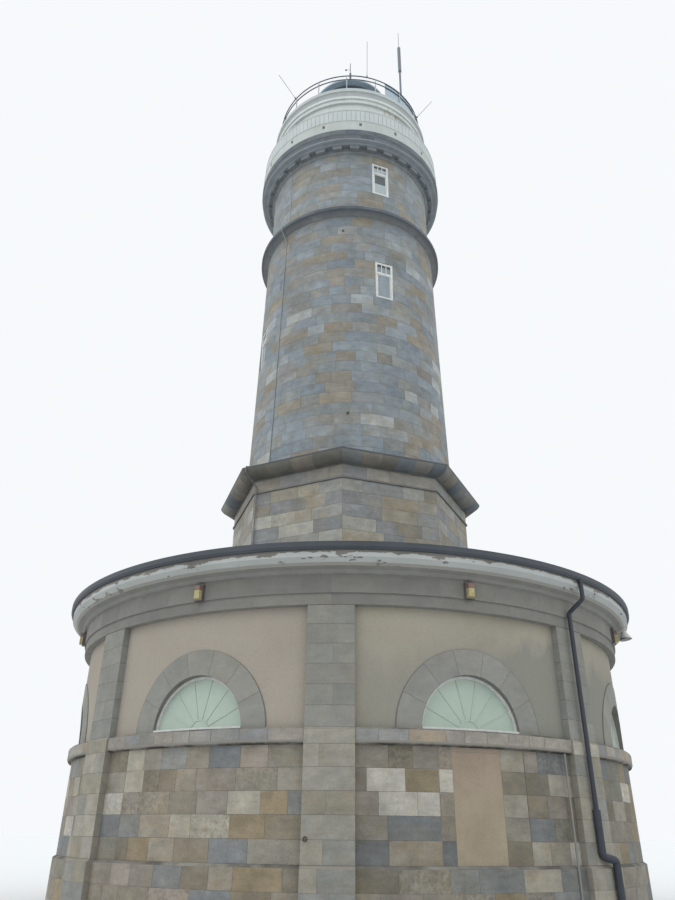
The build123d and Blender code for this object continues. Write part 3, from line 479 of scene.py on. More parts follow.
# Angles are in degrees from the front pilaster towards the right; a bay is an eighth of a
# turn and stands on the middle between two pilasters
eighth = 45
bays = {name: eighth * (index + 0.5) for index, name in enumerate((
    "front_right", "right_front", "right_back", "back_right",
    "back_left", "left_back", "left_front", "front_left"))}
base_course, plinth_course, plinth_slope = 0.37, 0.387, 0.045
plinth_top, band_low, band_top, wall_top = 1.16, 3.01, 3.29, 5.48
ashlar_radius, plinth_radius = 6.80, 6.87
pilaster_half = 7.5 / 2
door_half_width, door_sill = 0.55, 0.19
old_door_from, old_door_to, old_door_top = -0.49, 0.48, 2.93
# Open upright joints that run through all courses, by bay, as angles
through_joints = {"front_right": (16.2, 30.95), "front_left": (324.0,)}
# Two pale replacement stones of the front right bay: first and last angle, course
new_stones, new_stone_tone = ((5.4, 11.1, 3), (7.1, 12.8, 2)), 0.981


def bay_ends(angle, radius):
    half_bay = eighth / 2 - pilaster_half
    return math.radians(angle - half_bay) * radius, math.radians(angle + half_bay) * radius


def fill_base(mesh):
    place = on_cylinder(ashlar_radius)
    ashlar_levels = [plinth_top + base_course * i for i in range(6)]
    plinth_levels = [0, plinth_course, 2 * plinth_course, plinth_top - plinth_slope]
    for bay, angle in bays.items():
        middle = math.radians(angle) * ashlar_radius
        holes = []
        if bay == "back_left":
            holes = [(middle - door_half_width, middle + door_half_width, door_sill, band_low)]
        if bay == "front_right":
            holes = [(middle + old_door_from, middle + old_door_to, plinth_top, old_door_top)]
            for first, last, course in new_stones:
                low = plinth_top + base_course * course
                a, b = math.radians(first) * ashlar_radius, math.radians(last) * ashlar_radius
                holes.append((a, b, low, low + base_course))
                add_block(mesh, new_stone_tone, place,
                          upright_face(a, b, low, low + base_course, block_joint / 2),
                          block_depth, block_chamfer, 3)
        breaks = [math.radians(a) * ashlar_radius for a in through_joints.get(bay, ())]
        lay_courses(mesh, place, *bay_ends(angle, ashlar_radius), ashlar_levels, (0.38, 0.80),
                    holes, breaks)
        holes = [(a * plinth_radius / ashlar_radius, b * plinth_radius / ashlar_radius, low, high)
                 for a, b, low, high in holes]
        lay_courses(mesh, on_cylinder(plinth_radius), *bay_ends(angle, plinth_radius),
                    plinth_levels, (0.42, 0.90), holes)


add_piece("base_ashlar_blocks", fill_base, block_stone("base_ashlar", [
    (0.234, 0.213, 0.175), (0.196, 0.176, 0.139), (0.248, 0.228, 0.193), (0.189, 0.195, 0.189),
    (0.292, 0.270, 0.225), (0.214, 0.186, 0.141), (0.250, 0.220, 0.189), (0.172, 0.182, 0.187),
    (0.256, 0.228, 0.184), (0.202, 0.193, 0.158), (0.324, 0.298, 0.243), (0.184, 0.162, 0.123),
    (0.240, 0.214, 0.183), (0.252, 0.204, 0.134), (0.206, 0.210, 0.199),
], 1.0, 0.5, warmth=0.3, coarse=1.0, rare=(0.395, 0.376, 0.334), damp_side=True))


# Wall behind the blocks, with its plastered panels.
# Above the string course each bay is rendered in a thin warm plaster, greyed by rain in
# places; below it the same solid is the mortar that shows in the joints.
wall = new_finish("plaster_and_mortar")
broad = wall.noise(0.55, 5.0, 0.55)
fine = wall.noise(24.0)
grey_patch = wall.noise(0.9, 6.0, 0.6, (1.0, 1.0, 0.7))
torn = wall.noise(2.2, 6.0, 0.62, (1.0, 1.0, 0.45))
plaster = wall.ramp(broad, (0.32, (0.312, 0.276, 0.234)), (0.55, (0.336, 0.300, 0.254)),
                    (0.75, (0.350, 0.318, 0.270)))
# The front right bay is yellower than the one beside it
yellowed = wall.times(wall.between(wall.x, -0.3, 0.3), wall.ramp(torn, (0.36, 0.25), (0.60, 1.0)))
plaster = wall.tint(plaster, (0.950, 0.985, 0.925), yellowed)
# Rain has washed the colour out, most of all low on the wall and towards the right
washed_low = wall.ramp(wall.between(wall.z, wall_top, band_top),
                       (0.0, 0.15), (0.22, 0.45), (0.5, 0.9), (1.0, 1.0))
washed_right = wall.ramp(wall.between(wall.x, 0.0, 4.2), (0.0, 0.08), (0.35, 0.40), (0.75, 0.70))
washed = wall.times(wall.ramp(grey_patch, (0.38, 0.0), (0.56, 1.0)), washed_low, washed_right)
plaster = wall.blend(washed, plaster, (0.215, 0.211, 0.182))
# Damp has turned the front right bay grey green on both sides of its arch, with ragged edges
wander = wall.plus(wall.times(wall.less(grey_patch, 0.5), 1.4),
                   wall.times(wall.less(torn, 0.5), 1.6))
ragged_x, ragged_z = wall.plus(wall.x, wander), wall.plus(wall.z, wander)
damp_right = wall.times(wall.between(ragged_x, 2.45, 2.85), wall.between(ragged_z, 5.05, 4.60))
damp_left = wall.times(wall.between(wall.x, 0.30, 0.70), wall.between(ragged_z, 4.75, 4.05), 0.75)
damp = wall.times(wall.maths("ADD", damp_right, damp_left, True), wall.below(wall.y, 0.0), 0.85)
plaster = wall.blend(damp, plaster, (0.214, 0.214, 0.186))
plaster = wall.tint(plaster, wall.ramp(fine, (0.35, 0.95), (0.6, 1.02)))
joint_shade = wall.ramp(wall.noise(0.9), (0.40, (0.095, 0.090, 0.080)),
                        (0.60, (0.230, 0.220, 0.195)))
stone_part = wall.lay_in(sawn_stone, Colour=joint_shade, Tone=0.2, Mottle=0.7, Grime=0.5)
# The rounded foot of the string course is the band's stone colour
hollow = wall.times(wall.between(wall.z, band_low - 0.02, band_low),
                    wall.between(wall.z, band_low + 0.072, band_low + 0.066))
stone_shown = wall.blend(hollow, stone_part["Colour"], (0.250, 0.236, 0.208))
# A broken dark line along its lowest edge: painted shade under the band, with some soot
shade_and_soot_under_band = wall.times(wall.between(wall.z, band_low - 0.02, band_low + 0.002),
                   wall.between(wall.z, band_low + 0.045, band_low + 0.015),
                   wall.ramp(wall.noise(1.8, 5.0, 0.65), (0.40, 0.15), (0.56, 0.95)))
stone_shown = wall.blend(shade_and_soot_under_band, stone_shown, (0.050, 0.048, 0.044))
is_panel = wall.above(wall.z, band_top + 0.003)
roughcast = wall.plus(wall.times(broad, 0.7), wall.times(fine, 0.3))
wear(wall.surface(wall.blend(is_panel, stone_shown, plaster), 0.92, (roughcast, 0.3, 0.010), 0.2),
     *[f"base_wall_{bay}" for bay in bays])


# Walled-up doorway in the front right bay.
# The old opening is closed flush with the ashlar and rendered smooth, a little paler and
# warmer than the stones at its sides, under one long lintel stone.
def fill_old_door(mesh):
    middle = math.radians(bays["front_right"]) * ashlar_radius
    foot_joint, lintel_joint, band_joint = 0.01, 0.005, 0.002
    for low, high, depth, chamfer in (
            (plinth_top + foot_joint, old_door_top, 0.002, 0.0015),
            (old_door_top + lintel_joint, band_low - band_joint, block_depth, block_chamfer)):
        add_block(mesh, 0.5, on_cylinder(ashlar_radius),
                  upright_face(middle + old_door_from, middle + old_door_to, low, high),
                  depth, chamfer, 6)


infill = new_finish("doorway_render")
fine = infill.noise(30.0)
shown = infill.ramp(infill.noise(1.6, 5.0), (0.32, (0.238, 0.190, 0.142)),
                    (0.62, (0.286, 0.234, 0.178)))
# Greener low down, redder towards the lintel
shown = infill.blend(infill.between(infill.z, 1.7, 2.7), infill.tint(shown, (1.06, 1.09, 1.03)),
                     infill.tint(shown, (1.02, 1.00, 1.00)))
shown = infill.tint(shown, infill.ramp(fine, (0.35, 0.93), (0.6, 1.03)))
add_piece("walled_up_doorway", fill_old_door, infill.surface(shown, 0.9, (fine, 0.3, 0.008)))


# String course under the windows.
# A rounded band of the same ashlar, cut in long stones, runs between the pilasters.
band_radius, band_round, band_drip = 6.905, 0.021, 0.062


def fill_band(mesh):
    for angle in bays.values():
        lay_courses(mesh, on_cylinder(band_radius), *bay_ends(angle, band_radius),
                    [band_low + band_drip, band_top - band_round], (0.36, 0.70), depth=0.004,
                    joint=0.008)


add_piece("string_course_blocks", fill_band, block_stone("string_course_stone", [
    (0.282, 0.256, 0.229), (0.248, 0.239, 0.220), (0.310, 0.283, 0.251), (0.231, 0.232, 0.228),
    (0.266, 0.244, 0.213), (0.280, 0.236, 0.182), (0.256, 0.248, 0.233), (0.216, 0.218, 0.216),
    (0.291, 0.270, 0.236),
], 1.0, 0.5, coarse=0.5))


# Pilasters.
# Smooth grey limestone, one and two stones to a course in turn, above a foot of ashlar
# that stands forward of the wall.
pilaster_radius, pilaster_foot_radius, pilaster_plinth_radius = 6.90, 6.935, 6.99
upper_course = (wall_top - band_top) / 6


def fill_rows(mesh, rows):
    """Lays rows (low, high, radius, cut) on the eight pilasters, each of one or two stones.

    The cut is None, "free" for a place by chance, or a share of half the row's width.
    """
    for index in range(8):
        for low, high, radius, cut in rows:
            middle = math.radians(eighth * index) * radius
            half = math.radians(pilaster_half) * radius
            marks = [-half, half]
            if cut == "free":
                marks.insert(1, chance.uniform(-0.4, 0.4) * half)
            elif cut:
                marks.insert(1, cut * half)
            for a, b in zip(marks, marks[1:]):
                add_block(mesh, chance.random(), on_cylinder(radius),
                          upright_face(middle + a, middle + b, low, high, 0.0025),
                          0.004, 0.003, 3)


def fill_pilasters(mesh):
    fill_rows(mesh, [(band_top + row * upper_course, band_top + (row + 1) * upper_course,
                      pilaster_radius, 0.12 if row % 2 else None) for row in range(6)])


def fill_feet(mesh):
    rows = [(plinth_top + base_course * i, plinth_top + base_course * (i + 1),
             pilaster_foot_radius, None if i % 2 else "free") for i in range(5)]
    rows.append((band_low, band_top - 2 * band_round, pilaster_foot_radius, None))
    levels = [0, plinth_course, 2 * plinth_course, plinth_top - plinth_slope]
    rows += [(low, high, pilaster_plinth_radius, cut)
             for low, high, cut in zip(levels, levels[1:], ("free", None, "free"))]
    fill_rows(mesh, rows)


add_piece("pilaster_blocks", fill_pilasters, block_stone("pilaster_stone", [
    (0.202, 0.202, 0.183), (0.214, 0.212, 0.191), (0.194, 0.196, 0.179), (0.222, 0.217, 0.193),
], 0.6, 0.3))
add_piece("pilaster_foot_blocks", fill_feet, block_stone("pilaster_foot_stone", [
    (0.250, 0.238, 0.202), (0.212, 0.210, 0.192), (0.280, 0.262, 0.220), (0.226, 0.228, 0.218),
    (0.310, 0.292, 0.246), (0.236, 0.216, 0.172), (0.262, 0.252, 0.222),
], 0.9, 0.45))

sides = new_finish("pilaster_sides")
above_band = sides.above(sides.z, band_top)
side_colour = sides.blend(above_band, (0.236, 0.222, 0.186), (0.226, 0.228, 0.210))
faced = sides.lay_in(sawn_stone, Colour=side_colour, Tone=0.4, Mottle=0.7, Grime=0.3)
joint_below, joint_above = [
    sides.lay_in(bed_joints, Start=start, Course=course, Width=0.014)["Mask"]
    for start, course in ((plinth_top, base_course), (band_top, upper_course))]
joint_here = sides.blend(above_band, joint_below, joint_above)
wear(stone_surface(sides, faced, sides.blend(joint_here, faced["Colour"], (0.125, 0.122, 0.110))),
     "pilasters")


# Stone arches over the half-round windows.
# Seven wedge stones of the pilasters' grey stone with the finest of joints, set almost
# flush with the plaster.
arch_inner, arch_outer, arch_face, wedge_count = 1.0, 1.48, 6.775, 7


def fill_arches(mesh):
    parts, gap, edge_gap = 4, 0.0028, 0.003
    inner, outer = arch_inner + edge_gap, arch_outer - edge_gap
    for angle in bays.values():
        middle = math.radians(angle) * arch_face
        for i in range(wedge_count):
            tone = chance.random()
            first, last = pi * i / wedge_count + gap, pi * (i + 1) / wedge_count - gap
            for part in range(parts):
                a = first + (last - first) * part / parts
                b = first + (last - first) * (part + 1) / parts
                corners = [(middle + math.cos(turn) * reach, band_top + math.sin(turn) * reach)
                           for turn, reach in ((b, inner), (a, inner), (a, outer), (b, outer))]
                add_block(mesh, tone, on_cylinder(arch_face), corners, 0.003, 0.0004, 1, rows=4)


add_piece("arch_wedge_stones", fill_arches, block_stone("arch_stone", [
    (0.222, 0.220, 0.200), (0.232, 0.228, 0.206), (0.216, 0.216, 0.197), (0.236, 0.230, 0.206),
], 0.5, 0.25))

arch_back = new_finish("arch_soffit_and_joints")
in_joint = arch_back.above(arch_back.from_axis(), arch_face - 0.006)
faced = arch_back.lay_in(sawn_stone, Colour=(0.200, 0.192, 0.172), Tone=0.3, Mottle=0.7,
                         Grime=0.4)
wear(stone_surface(arch_back, faced,
                   arch_back.blend(in_joint, faced["Colour"], (0.125, 0.120, 0.106))),
     "window_arches")


# Half-round windows: white frames, thin radial glazing bars and a half-round hub.
# Painted timber frames; the panes are pale green obscured glass held by metal bars.
def drifting(name, dark, light, scale, detail=4.0, stops=(0.35, 0.65), rough=0.5, bump=(),
             stretch=None, specular=0.5):
    """Material that drifts between two shades; rough may be a pair, bump (strength, distance)."""
    finish = new_finish(name)
    drift = finish.noise(scale, detail, 0.6, stretch)
    if isinstance(rough, tuple):
        rough = finish.ramp(drift, (0.3, rough[0]), (0.7, rough[1]))
    return finish.surface(finish.ramp(drift, (stops[0], dark), (stops[1], light)), rough,
                          (drift, *bump) if bump else None, specular)


def plate(mesh, corners, out, thickness):
    """Flat plate from its front corners, with sides into the wall."""
    front = [mesh.verts.new(c) for c in corners]
    back = [mesh.verts.new(c - out * thickness) for c in corners]
    count = len(corners)
    mesh.faces.new(front)
    for i in range(count):
        j = (i + 1) % count
        mesh.faces.new((back[i], back[j], front[j], front[i]))


def wall_point(angle, distance, height, across, rise):
    """A place on an upright plane: across the wall and up from the given height."""
    out = outward(angle)
    return out * distance + upwards.cross(out) * across + upwards * (height + rise)


frame_white = drifting("window_white_paint", (0.500, 0.512, 0.492), (0.600, 0.612, 0.595), 9.0,
                       5.0, (0.35, 0.6), bump=(0.15, 0.004))
wear(frame_white, "lunette_frames")

green_glass = new_finish("obscured_green_glass")
green = green_glass.ramp(green_glass.noise(1.2, 4.0, 0.55), (0.35, (0.330, 0.405, 0.340)),
                         (0.68, (0.382, 0.456, 0.385)))
grain = green_glass.noise(60.0, 2.0, 0.5)
wear(green_glass.surface(green, 0.32, (grain, 0.12, 0.003)), "lunette_glass")

fan_front, fan_hub, fan_reach, fan_bar = 6.594, 0.20, 0.95, 0.009
hub_parts, hub_bar = 14, 0.02


def fan_plate(mesh, angle, distance, spots, thickness):
    """A flat bar in a half-round window; spots are (turn, reach, aside) from its centre."""
    corners = [wall_point(angle, distance, band_top,
                          math.cos(turn) * reach - math.sin(turn) * aside,
                          math.sin(turn) * reach + math.cos(turn) * aside)
               for turn, reach, aside in spots]
    plate(mesh, corners, outward(angle), thickness)


def fill_fans(mesh):
    for angle in bays.values():
        for i in range(1, wedge_count):
            turn = pi * i / wedge_count
            fan_plate(mesh, angle, fan_front, (
                (turn, fan_hub, -fan_bar), (turn, fan_reach, -fan_bar),
                (turn, fan_reach, fan_bar), (turn, fan_hub, fan_bar)), 0.010)
        for i in range(hub_parts):
            first, last = pi * i / hub_parts, pi * (i + 1) / hub_parts
            fan_plate(mesh, angle, fan_front + 0.001, (
                (first, fan_hub, 0), (first, fan_hub + hub_bar, 0),
                (last, fan_hub + hub_bar, 0), (last, fan_hub, 0)), 0.011)


add_piece("window_fan_bars", fill_fans, drifting(
    "glazing_bar_metal", (0.365, 0.425, 0.370), (0.405, 0.468, 0.408), 6.0, rough=0.6), False)


# Entablature over the wall: fascia, frieze and cove.
# Long smooth stones with very fine upright joints; the cove above is a little paler.
fascia_radius, frieze_radius, fascia_top, frieze_top = 6.915, 6.95, 5.70, 6.05


def lay_ring(mesh, radius, low, high, sizes, **fit):
    """One course of stones all the way round."""
    lay_courses(mesh, on_cylinder(radius), 0, 2 * pi * radius, [low, high], sizes, **fit)


def fill_entablature(mesh):
    fit = {"depth": 0.002, "chamfer": 0.0015, "joint": 0.003}
    lay_ring(mesh, fascia_radius, wall_top + 0.002, fascia_top - 0.003, (0.9, 1.5), **fit)
    lay_ring(mesh, frieze_radius, fascia_top + 0.002, frieze_top - 0.002, (0.8, 1.3), **fit)


add_piece("entablature_blocks", fill_entablature, block_stone("frieze_stone", [
    (0.175, 0.172, 0.157), (0.183, 0.178, 0.162), (0.170, 0.168, 0.154), (0.188, 0.181, 0.163),
], 0.45, 0.3))
wear(plain_stone("cove_stone", (0.222, 0.220, 0.204), 0.5, 0.3), "entablature")


# Painted eaves under the gutter.
# White limewash over render that flakes off in ragged strips right under the gutter.
corona_top, limewash_end = 6.425, 7.25
eaves = new_finish("flaking_eaves_paint")
ragged = eaves.noise(2.4, 8.0, 0.66, (1.0, 1.0, 3.2))
where_worn = eaves.noise(0.5, 3.0, 0.5)
stain = eaves.noise(1.1, 5.0)
edge_pull = eaves.ramp(eaves.between(eaves.z, corona_top - 0.125, corona_top),
                       (0.0, 0.0), (0.42, 0.06), (0.75, 0.24), (1.0, 0.42))
loss = eaves.plus(eaves.plus(ragged, edge_pull), eaves.times(eaves.less(where_worn, 0.5), 0.30))
flake = eaves.ramp(loss, (0.625, 0.0), (0.640, 1.0))
white = eaves.ramp(stain, (0.32, (0.345, 0.366, 0.355)), (0.66, (0.400, 0.420, 0.408)))
bare = eaves.ramp(stain, (0.3, (0.120, 0.112, 0.102)), (0.7, (0.190, 0.176, 0.156)))
# The limewash ends part of the way under the drip, on the bare stone of the cove
brushed = eaves.between(eaves.plus(eaves.from_axis(), eaves.times(ragged, 0.03)),
                        limewash_end - 0.005, limewash_end + 0.005)
white = eaves.blend(brushed, (0.262, 0.254, 0.228), white)
wear(eaves.surface(eaves.blend(flake, white, bare), 0.85, (eaves.less(1.0, flake), 0.6, 0.005)),
     "eaves")


# Gutter and roof of the base building.
# Dark folded zinc, dulled by salt, with the roof in sheets that meet at standing seams.
zinc = drifting("dark_zinc", (0.038, 0.046, 0.056), (0.058, 0.068, 0.080), 1.4, 6.0, (0.32, 0.66),
                (0.50, 0.70), (0.2, 0.01), specular=0.35)
wear(zinc, "gutter", "base_roof")

roof_edge, roof_inner, roof_rise, roof_skin = 7.22, 2.604, 0.90, 0.055
seam_inner, seam_outer, seam_count, seam_half, seam_height = 3.62, 7.20, 48, 0.015, 0.035


def fill_seams(mesh):
    for index in range(seam_count):
        out = outward(360 * index / seam_count)
        side = upwards.cross(out)
        rows = []
        for radius in (seam_inner, seam_outer):
            level = (corona_top + roof_rise * (roof_edge - radius) / (roof_edge - roof_inner)
                     + roof_skin)
            rows.append([mesh.verts.new(out * radius + side * s * seam_half
                                        + upwards * (level + t))
                         for s, t in ((-1, 0), (-0.6, seam_height), (0.6, seam_height), (1, 0))])
        for i in range(3):
            mesh.faces.new((rows[0][i], rows[0][i + 1], rows[1][i + 1], rows[1][i]))
        mesh.faces.new(rows[0][::-1])
        mesh.faces.new(rows[1])


add_piece("roof_seams", fill_seams, zinc, False)


# Eight-sided foot of the tower, its frieze course and its rounded cornice.
# The same mixed ashlar, in courses that turn the corners, with pale replacement stones;
# the cornice is dark along its top edge, and its moulding is darker on faces that look
# down, in painted shade with some soot.
octagon_flat, corner_gap = 3.50 * math.cos(pi / 8), 0.001
foot_top, foot_course, foot_courses = 9.80, 0.352, 8
foot_cornice_low, foot_cornice_high, foot_lip = 10.19, 10.475, 0.045
foot_fillet, foot_overhang, foot_curve, astragal = 0.025, 0.416, 0.400, 0.045


def clad_octagon(mesh, levels, sizes, step):
    """Lays courses on the eight flat sides of the tower's foot."""
    half = octagon_flat * math.tan(pi / 8)
    for index in range(8):
        normal = outward(eighth * (index + 0.5))
        across = upwards.cross(normal)

        def place(along, height, depth):
            return normal * (octagon_flat + depth) + across * along + upwards * height

        lay_courses(mesh, place, corner_gap - half, half - corner_gap, levels, sizes, step=step)


def fill_octagon(mesh):
    levels = [foot_top - foot_course * i for i in range(foot_courses, -1, -1)]
    clad_octagon(mesh, levels, (0.48, 1.15), 1.2)


def fill_foot_frieze(mesh):
    clad_octagon(mesh, [foot_top + astragal, foot_cornice_low], (0.42, 0.86), 0.9)


def fill_moulding(mesh):
    """Stones round the eight sides of the cornice, bent to its convex curve."""
    low = Vector((octagon_flat + foot_fillet, foot_cornice_low + foot_fillet))
    high = Vector((octagon_flat + foot_overhang, foot_cornice_high - foot_lip))
    chord = high - low
    bulge = Vector((chord.y, -chord.x)).normalized()
    centre = (low + high) / 2 - bulge * math.sqrt(foot_curve ** 2 - (chord.length / 2) ** 2)
    first = math.atan2(low.y - centre.y, low.x - centre.x)
    last = math.atan2(high.y - centre.y, high.x - centre.x)
    length, bed_gap = foot_curve * (last - first), 0.004
    half = low.x * math.tan(pi / 8)
    for index in range(8):
        normal = outward(eighth * (index + 0.5))
        across = upwards.cross(normal)

        def place(along, height, depth):
            turn = first + height / foot_curve
            flat = centre.x + math.cos(turn) * (foot_curve + depth)
            level = centre.y + math.sin(turn) * (foot_curve + depth)
            return normal * flat + across * along * flat / low.x + upwards * level

        lay_courses(mesh, place, corner_gap - half, half - corner_gap,
                    [bed_gap, length - bed_gap], (0.40, 0.68), depth=0.003, chamfer=0.002,
                    step=0.7, rows=8, joint=0.008)


add_piece("tower_foot_blocks", fill_octagon, block_stone("tower_foot_ashlar", [
    (0.246, 0.234, 0.204), (0.272, 0.262, 0.230), (0.226, 0.234, 0.232), (0.286, 0.266, 0.220),
    (0.250, 0.258, 0.254), (0.234, 0.220, 0.184), (0.350, 0.346, 0.314), (0.262, 0.250, 0.216),
    (0.280, 0.280, 0.264), (0.212, 0.222, 0.226), (0.290, 0.262, 0.206), (0.380, 0.378, 0.348),
], 1.0, 0.35, warmth=0.5, coarse=0.5))
add_piece("foot_frieze_blocks", fill_foot_frieze, block_stone("foot_frieze_stone", [
    (0.244, 0.235, 0.207), (0.217, 0.224, 0.223), (0.269, 0.260, 0.232), (0.230, 0.217, 0.182),
    (0.235, 0.244, 0.246), (0.258, 0.244, 0.212),
], 1.0, 0.4, warmth=0.4))
# The moulding's faces that look down are darkened a little: painted shade with some soot
add_piece("foot_moulding_blocks", fill_moulding, block_stone("foot_moulding_stone", [
    (0.200, 0.210, 0.212), (0.256, 0.236, 0.196), (0.158, 0.180, 0.204), (0.240, 0.234, 0.212),
    (0.180, 0.170, 0.146), (0.216, 0.222, 0.220),
], 0.9, 0.5, 0.15))
mortar = plain_stone("bedding_mortar", (0.180, 0.176, 0.160), 0.6, 0.4)
quarters = ("front", "right", "back", "left")
wear(mortar, *[f"tower_foot_{side}" for side in quarters])

cornice_back = new_finish("foot_cornice_stone")
on_edge = cornice_back.times(
    cornice_back.above(cornice_back.z, foot_cornice_high - foot_lip - 0.004),
    cornice_back.below(cornice_back.z, foot_cornice_high + 0.004))
shown = cornice_back.blend(on_edge, (0.180, 0.182, 0.174), (0.080, 0.086, 0.090))
wear(stone_surface(cornice_back, cornice_back.lay_in(sawn_stone, Colour=shown, Tone=0.3,
                                                     Mottle=0.8, Grime=0.5)), "foot_cornice")


# Round shaft of the tower.
# Blue-grey and buff ashlar in twenty-five courses and a thin closing one, each block cut to
# the curve, with slit windows spaced round the stair.
window_half, window_tall = 0.30, 1.43
shaft_low, shaft_middle, shaft_high = 10.605, 15.085, 19.565
foot_radius, middle_radius, top_radius, unrolled = 3.1296, 3.0296, 2.9496, 3.0
front_sill, side_sill, watch_sill = 16.27, 14.84, 20.845
shaft_windows = [(24.2, front_sill), (114.0, side_sill), (-155.8, front_sill), (-66.0, side_sill)]
watch_windows = [(24.2, watch_sill), (-155.8, watch_sill)]
shaft_course = window_tall / 4


def shaft_radius(height):
    """Radius of the shaft: a smooth curve through its foot, middle and top."""
    t = min(max((height - shaft_low) / (shaft_high - shaft_low), 0), 1)
    return (foot_radius * (1 - t) * (1 - 2 * t) + middle_radius * 4 * t * (1 - t)
            + top_radius * t * (2 * t - 1))


def on_shaft(along, height, depth):
    return (outward(math.degrees(along / unrolled)) * (shaft_radius(height) + depth)
            + upwards * height)


def window_holes(windows, radius):
    return [(math.radians(angle) * radius - window_half, math.radians(angle) * radius + window_half,
             sill, sill + window_tall) for angle, sill in windows]


def fill_shaft(mesh):
    levels = [front_sill + shaft_course * i for i in range(-15, 10)]
    lay_courses(mesh, on_shaft, -pi * unrolled, pi * unrolled, [shaft_low, *levels, shaft_high],
                (0.46, 0.96), window_holes(shaft_windows, unrolled), step=0.15, slide=0.3)


add_piece("shaft_blocks", fill_shaft, block_stone("shaft_ashlar", [
    (0.204, 0.234, 0.259), (0.216, 0.222, 0.215), (0.192, 0.225, 0.252), (0.224, 0.252, 0.272),
    (0.238, 0.222, 0.190), (0.198, 0.223, 0.240), (0.234, 0.254, 0.264), (0.182, 0.213, 0.243),
    (0.220, 0.234, 0.236), (0.222, 0.207, 0.176), (0.212, 0.242, 0.267), (0.226, 0.236, 0.232),
    (0.198, 0.227, 0.248), (0.206, 0.202, 0.186), (0.228, 0.259, 0.283),
], 1.0, 0.35, warmth=0.8, coarse=0.3, rare=(0.330, 0.360, 0.375)))
wear(mortar, *[f"shaft_{side}" for side in quarters])


# Ring moulding over the shaft.
# A projecting hollow moulding in weathered stone, black along its lip; its hollow darkens
# towards the lip in painted shade.
lip_low, lip_high, ring_lip_radius, lip_gap = 19.675, 19.795, 3.1996, 0.004
ring = new_finish("ring_moulding_stone")
faced = ring.lay_in(sawn_stone, Colour=(0.215, 0.225, 0.234), Tone=0.6, Mottle=0.9, Grime=0.5)
# Black along the lip, and painted shade darkening the top of the hollow under it
black_lip_and_painted_shade = ring.times(ring.between(ring.z, lip_low - 0.115, lip_low - 0.02),
                       ring.between(ring.z, lip_high + 0.03, lip_high),
                       ring.ramp(ring.noise(3.0, 6.0, 0.65), (0.3, 0.75), (0.6, 1.0)))
wear(stone_surface(ring, faced, ring.blend(black_lip_and_painted_shade, faced["Colour"], (0.066, 0.076, 0.088))),
     "cordon")


def fill_ring_lip(mesh):
    lay_ring(mesh, ring_lip_radius, lip_low + lip_gap, lip_high - lip_gap, (0.42, 0.62),
             depth=0.003, chamfer=0.002, step=0.15)


add_piece("ring_lip_blocks", fill_ring_lip, block_stone("ring_lip_stone", [
    (0.082, 0.100, 0.120), (0.096, 0.112, 0.128), (0.074, 0.090, 0.110), (0.104, 0.120, 0.136),
], 0.8, 0.5))


# Watch room wall under the gallery.
# Eight courses of the shaft's ashlar, a little paler, on a slightly smaller round.
watch_radius, watch_low, watch_high, watch_course = 2.8696, 19.855, 22.605, 0.33


def fill_watch(mesh):
    levels = [watch_low + watch_course * i for i in range(3)]
    levels += [watch_sill + shaft_course * i for i in range(5)] + [watch_high]
    lay_courses(mesh, on_cylinder(watch_radius), -pi * watch_radius, pi * watch_radius, levels,
                (0.46, 0.92), window_holes(watch_windows, watch_radius), step=0.15, slide=0.3)


add_piece("watch_room_blocks", fill_watch, block_stone("watch_room_ashlar", [
    (0.226, 0.256, 0.274), (0.236, 0.246, 0.240), (0.213, 0.244, 0.268), (0.240, 0.272, 0.292),
    (0.252, 0.242, 0.212), (0.220, 0.250, 0.272), (0.228, 0.230, 0.218), (0.244, 0.274, 0.296),
], 1.0, 0.35, warmth=0.7, coarse=0.2))
wear(mortar, "watch_room_wall_front", "watch_room_wall_back")


# Gallery cornice and its blocks.
# Deep stone ledge over thirty-two blocks: black growth on its upright face; its flat soffit,
# the band behind the blocks and the bed mould painted paler as painted light from below;
# and painted shade with some soot on the undersides of the blocks.
soffit_level, block_foot = 22.825, 22.630
lip_foot, lip_head, lip_radius, cornice_radius = 23.04, 23.255, 3.3696, 3.3346
ledge = new_finish("gallery_cornice_stone")
reach = ledge.from_axis()
shown = ledge.ramp(ledge.noise(1.7, 6.0, 0.65), (0.3, (0.100, 0.120, 0.140)),
                   (0.7, (0.140, 0.160, 0.178)))
soffit_painted_light = ledge.times(ledge.below(ledge.z, soffit_level + 0.002),
                        ledge.below(reach, cornice_radius - 0.05))
drip_edge_painted_light = ledge.times(ledge.above(reach, cornice_radius - 0.05),
                        ledge.below(ledge.z, soffit_level + 0.03))
# Painted light from below: the soffit, its outer edge by the drip, the band behind the blocks and
# the bed mould are painted paler, lifting them out of the shade under the ledge
for region, colour in ((soffit_painted_light, (0.212, 0.240, 0.266)), (drip_edge_painted_light, (0.250, 0.275, 0.295)),
                       (ledge.below(reach, cornice_radius - 0.20), (0.155, 0.171, 0.188)),
                       (ledge.below(ledge.z, block_foot - 0.002), (0.240, 0.258, 0.266))):
    shown = ledge.blend(region, shown, colour)
wear(stone_surface(ledge, ledge.lay_in(sawn_stone, Colour=shown, Tone=0.8, Mottle=0.7,
                                       Grime=0.3)), "gallery_cornice")
# The blocks' faces that look down are darkened: painted shade with some soot
wear(plain_stone("cornice_block_stone", (0.235, 0.256, 0.270), 0.6, 0.3, 0.6), "cornice_blocks")


def fill_gallery_lip(mesh):
    for radius, low, high in ((lip_radius, lip_foot + lip_gap, lip_head - lip_gap),
                              (cornice_radius, soffit_level + 0.035, lip_foot - 0.040)):
        lay_ring(mesh, radius, low, high, (0.42, 0.60), depth=0.003, chamfer=0.002, step=0.15)


